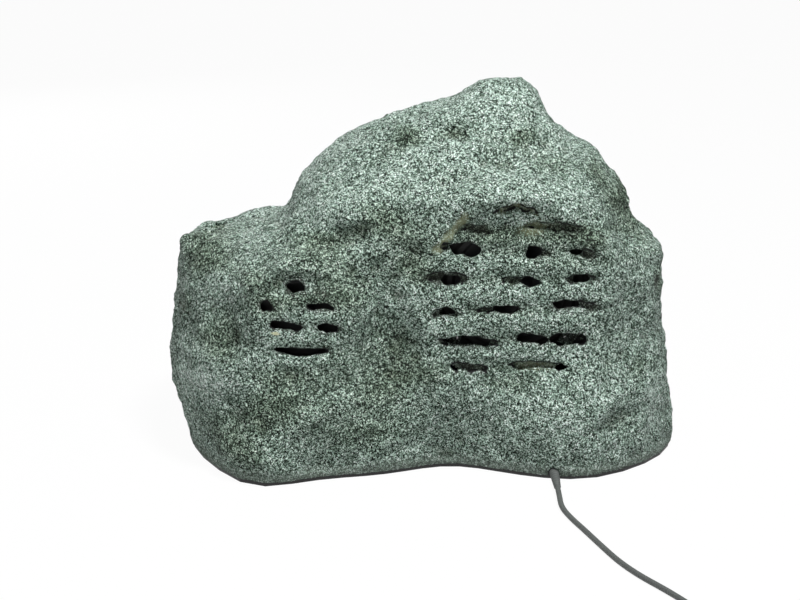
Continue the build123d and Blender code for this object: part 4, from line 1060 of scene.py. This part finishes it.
# How far the grooved part keeps inside the solid's cone.
BOOT_INSET = 0.00002
BOOT_SIDES = 40
RINGS = 7
RING_STEPS = 8
RING_DEPTH = 0.0007
boot_low, boot_high = (Vector(corner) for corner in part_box("cable_boot"))
boot_radius = (boot_high.x - boot_low.x) / 2
boot_length = boot_high.y - boot_low.y
boot_outline = [
    (0.0, 0.0),
    (0.0, boot_radius - BOOT_EDGE),
    (BOOT_EDGE, boot_radius),
    (BOOT_NECK, boot_radius),
]
for step in range(RINGS * RING_STEPS + 1):
    share = step / (RINGS * RING_STEPS)
    taper = boot_radius + (BOOT_TIP_RADIUS - boot_radius) * share
    groove = RING_DEPTH * fade(math.cos(2 * math.pi * share * RINGS) * -1.0, -0.2, 0.7)
    along_boot = BOOT_NECK + (boot_length - BOOT_NECK - BOOT_EDGE) * share
    boot_outline.append((along_boot, taper - groove - BOOT_INSET))
boot_outline += [(boot_length, BOOT_END_RADIUS), (boot_length, 0.0)]
boot_tail = ((boot_low.x + boot_high.x) / 2, boot_high.y, (boot_low.z + boot_high.z) / 2)
boot = turned("boot", boot_outline, boot_tail, (0, -1, 0), (0, 0, 1), BOOT_SIDES,
              "cable_sheath", "cable_boot", False)
print("boot:", len(boot.data.polygons), "faces")

# %% Inductor
WIRE = 0.0015
BORE = 0.010
WIRE_INSET = 0.36
WIRE_BULGE = 0.35
WIRE_STEPS = 6
WOUND_SIDES = 72
wound_low, wound_high = (Vector(corner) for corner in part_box("crossover_inductor"))
wound_radius = (wound_high.x - wound_low.x) / 2
wound_height = wound_high.z - wound_low.z
turns_up = round(wound_height / WIRE)
turns_out = round((wound_radius - BORE) / WIRE)


def scallops(start, way, out, number, pitch):
    """Half rounds along one side of the winding, from a corner."""
    row = []
    for turn in range(number):
        for step in range(WIRE_STEPS):
            share = (turn + step / WIRE_STEPS) * pitch
            bulge = WIRE_BULGE * pitch * math.sin(math.pi * step / WIRE_STEPS)
            along = start[0] + way[0] * share + out[0] * bulge
            row.append((along, start[1] + way[1] * share + out[1] * bulge))
    return row


inset = WIRE_INSET * WIRE
pitch_up = (wound_height - 2 * inset) / turns_up
pitch_out = (wound_radius - BORE - 2 * inset) / turns_out
bottom = inset
top = wound_height - inset
near = BORE + inset
far = wound_radius - inset
winding = scallops((bottom, far), (1, 0), (0, 1), turns_up, pitch_up)
winding += scallops((top, far), (0, -1), (1, 0), turns_out, pitch_out)
winding += scallops((top, near), (-1, 0), (0, -1), turns_up, pitch_up)
winding += scallops((bottom, near), (0, 1), (-1, 0), turns_out, pitch_out)
wound_foot = ((wound_low.x + wound_high.x) / 2, (wound_low.y + wound_high.y) / 2, wound_low.z)
inductor = turned("inductor", winding, wound_foot, (0, 0, 1), (1, 0, 0), WOUND_SIDES,
                  "copper_wire", "crossover_inductor", True)
print("inductor:", len(inductor.data.polygons), "faces,", turns_up * turns_out, "turns")

# %% Stranded ends
# Six strands wind round a straight one.
WINDING_STRANDS = 6
STRAND_SHARE = 0.32
STRAND_STEPS = 12
STRAND_SIDES = 8
STRAND_TWIST = 0.4
tips_low, tips_high = (Vector(corner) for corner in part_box("core_tips"))
tip_radius = (tips_high.z - tips_low.z) / 2
tip_z = (tips_high.z + tips_low.z) / 2
strand_radius = tip_radius * STRAND_SHARE
strands = bmesh.new()
for tip_x in (tips_low.x + tip_radius, tips_high.x - tip_radius):
    for strand in range(WINDING_STRANDS + 1):
        orbit = 0.0 if strand == WINDING_STRANDS else tip_radius - strand_radius
        rings = []
        for step in range(STRAND_STEPS + 1):
            share = step / STRAND_STEPS
            angle = math.tau * (strand / WINDING_STRANDS + STRAND_TWIST * share)
            ring_y = tips_high.y + (tips_low.y - tips_high.y) * share
            middle = Vector((tip_x + orbit * math.cos(angle), ring_y, tip_z + orbit * math.sin(angle)))
            ring = []
            for side in range(STRAND_SIDES):
                round_strand = math.tau * side / STRAND_SIDES
                out = Vector((math.cos(round_strand), 0, math.sin(round_strand)))
                ring.append(strands.verts.new(middle + strand_radius * out))
            rings.append(ring)
        for ring, after in zip(rings, rings[1:]):
            for side in range(STRAND_SIDES):
                beyond = (side + 1) % STRAND_SIDES
                strands.faces.new((ring[side], ring[beyond], after[beyond], after[side]))
        strands.faces.new(rings[0])
        strands.faces.new(rings[-1])
bmesh.ops.recalc_face_normals(strands, faces=strands.faces)
strand_mesh = bpy.data.meshes.new("strands")
strands.to_mesh(strand_mesh)
strands.free()
strand_mesh.shade_smooth()
strand_mesh.materials.append(finishes["copper_wire"])
bare_ends = bpy.data.objects.new("strands", strand_mesh)
scene.collection.objects.link(bare_ends)
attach(bare_ends, "root")
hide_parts("core_tips")
print("strands:", len(strand_mesh.polygons), "faces")

# %% [markdown]
# ## The ground and the light
# The picture has a bare white ground. The ground is seen as white by the camera and by anything that
# mirrors it, but it still takes a little shadow, and for bounced light it is a plain grey, so that it
# doesn't light the rock from below. One lamp above and in front gives the bright roof and the darker
# front, a weak one beside the viewer opens the shadows, one behind shows the back, and a faint sky fills
# the rest.

# %% Ground
GROUND_HALF = 12.0
SHADOW_SHARE = 0.04
MATT_GREY = (0.55, 0.55, 0.55)
PALE_GREY = (0.95, 0.95, 0.95)
WHITE = (1.0, 1.0, 1.0)
ground_form = bmesh.new()
bmesh.ops.create_grid(ground_form, x_segments=1, y_segments=1, size=GROUND_HALF)
ground_mesh = bpy.data.meshes.new("ground")
ground_form.to_mesh(ground_mesh)
ground_form.free()
ground = bpy.data.objects.new("ground", ground_mesh)
scene.collection.objects.link(ground)
ground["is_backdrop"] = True
studio = Finish("studio_ground")
seen = studio.node("LightPath", output="Is Camera Ray") + studio.node("LightPath", output="Is Glossy Ray")
seen = seen + studio.node("LightPath", output="Is Transmission Ray")
matt = studio.node("BsdfDiffuse", None, {"Color": MATT_GREY})
white = studio.node("Emission", None, {"Color": WHITE, "Strength": 1.0})
pale = studio.node("BsdfDiffuse", None, {"Color": PALE_GREY})
shown = studio.node("MixShader", None, {0: SHADOW_SHARE, 1: white, 2: pale})
studio.output(studio.node("MixShader", None, {0: seen, 1: matt, 2: shown}))
ground_mesh.materials.append(studio.material)
print("ground:", len(studio.tree.nodes), "nodes")

# %% Light
SKY_STRENGTH = 0.10
# Name, place, aim, size and power in watts.
LAMPS = [
    ("key", (0.42, -0.80, 2.3), (0.0, 0.0, 0.2), 0.5, 57.0),
    ("fill", (-1.1, -2.2, 0.9), (0.0, 0.0, 0.2), 1.2, 6.0),
    ("behind", (-1.0, 2.1, 1.0), (0.0, 0.1, 0.15), 1.2, 14.0),
]
sky = bpy.data.worlds.new("studio_sky")
sky.use_nodes = True
sky_light = sky.node_tree.nodes["Background"]
sky_light.inputs["Color"].default_value = (*WHITE, 1.0)
sky_light.inputs["Strength"].default_value = SKY_STRENGTH
scene.world = sky
for lamp_name, lamp_place, lamp_aim, size, power in LAMPS:
    light = bpy.data.lights.new(lamp_name, "AREA")
    light.shape = "SQUARE"
    light.size = size
    light.energy = power
    lamp = bpy.data.objects.new(lamp_name, light)
    lamp.location = lamp_place
    lamp.rotation_euler = (Vector(lamp_aim) - Vector(lamp_place)).to_track_quat("-Z", "Y").to_euler()
    scene.collection.objects.link(lamp)
scene.view_settings.view_transform = "Standard"
print("lamps:", [row[0] for row in LAMPS])

# %% [markdown]
# ## Declaring the cord and closing
# The box of the dressed model is printed, as the solids' box was at the start.

# %% Close
low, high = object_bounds()
print("box", [round(v, 3) for v in (*low, *high)])
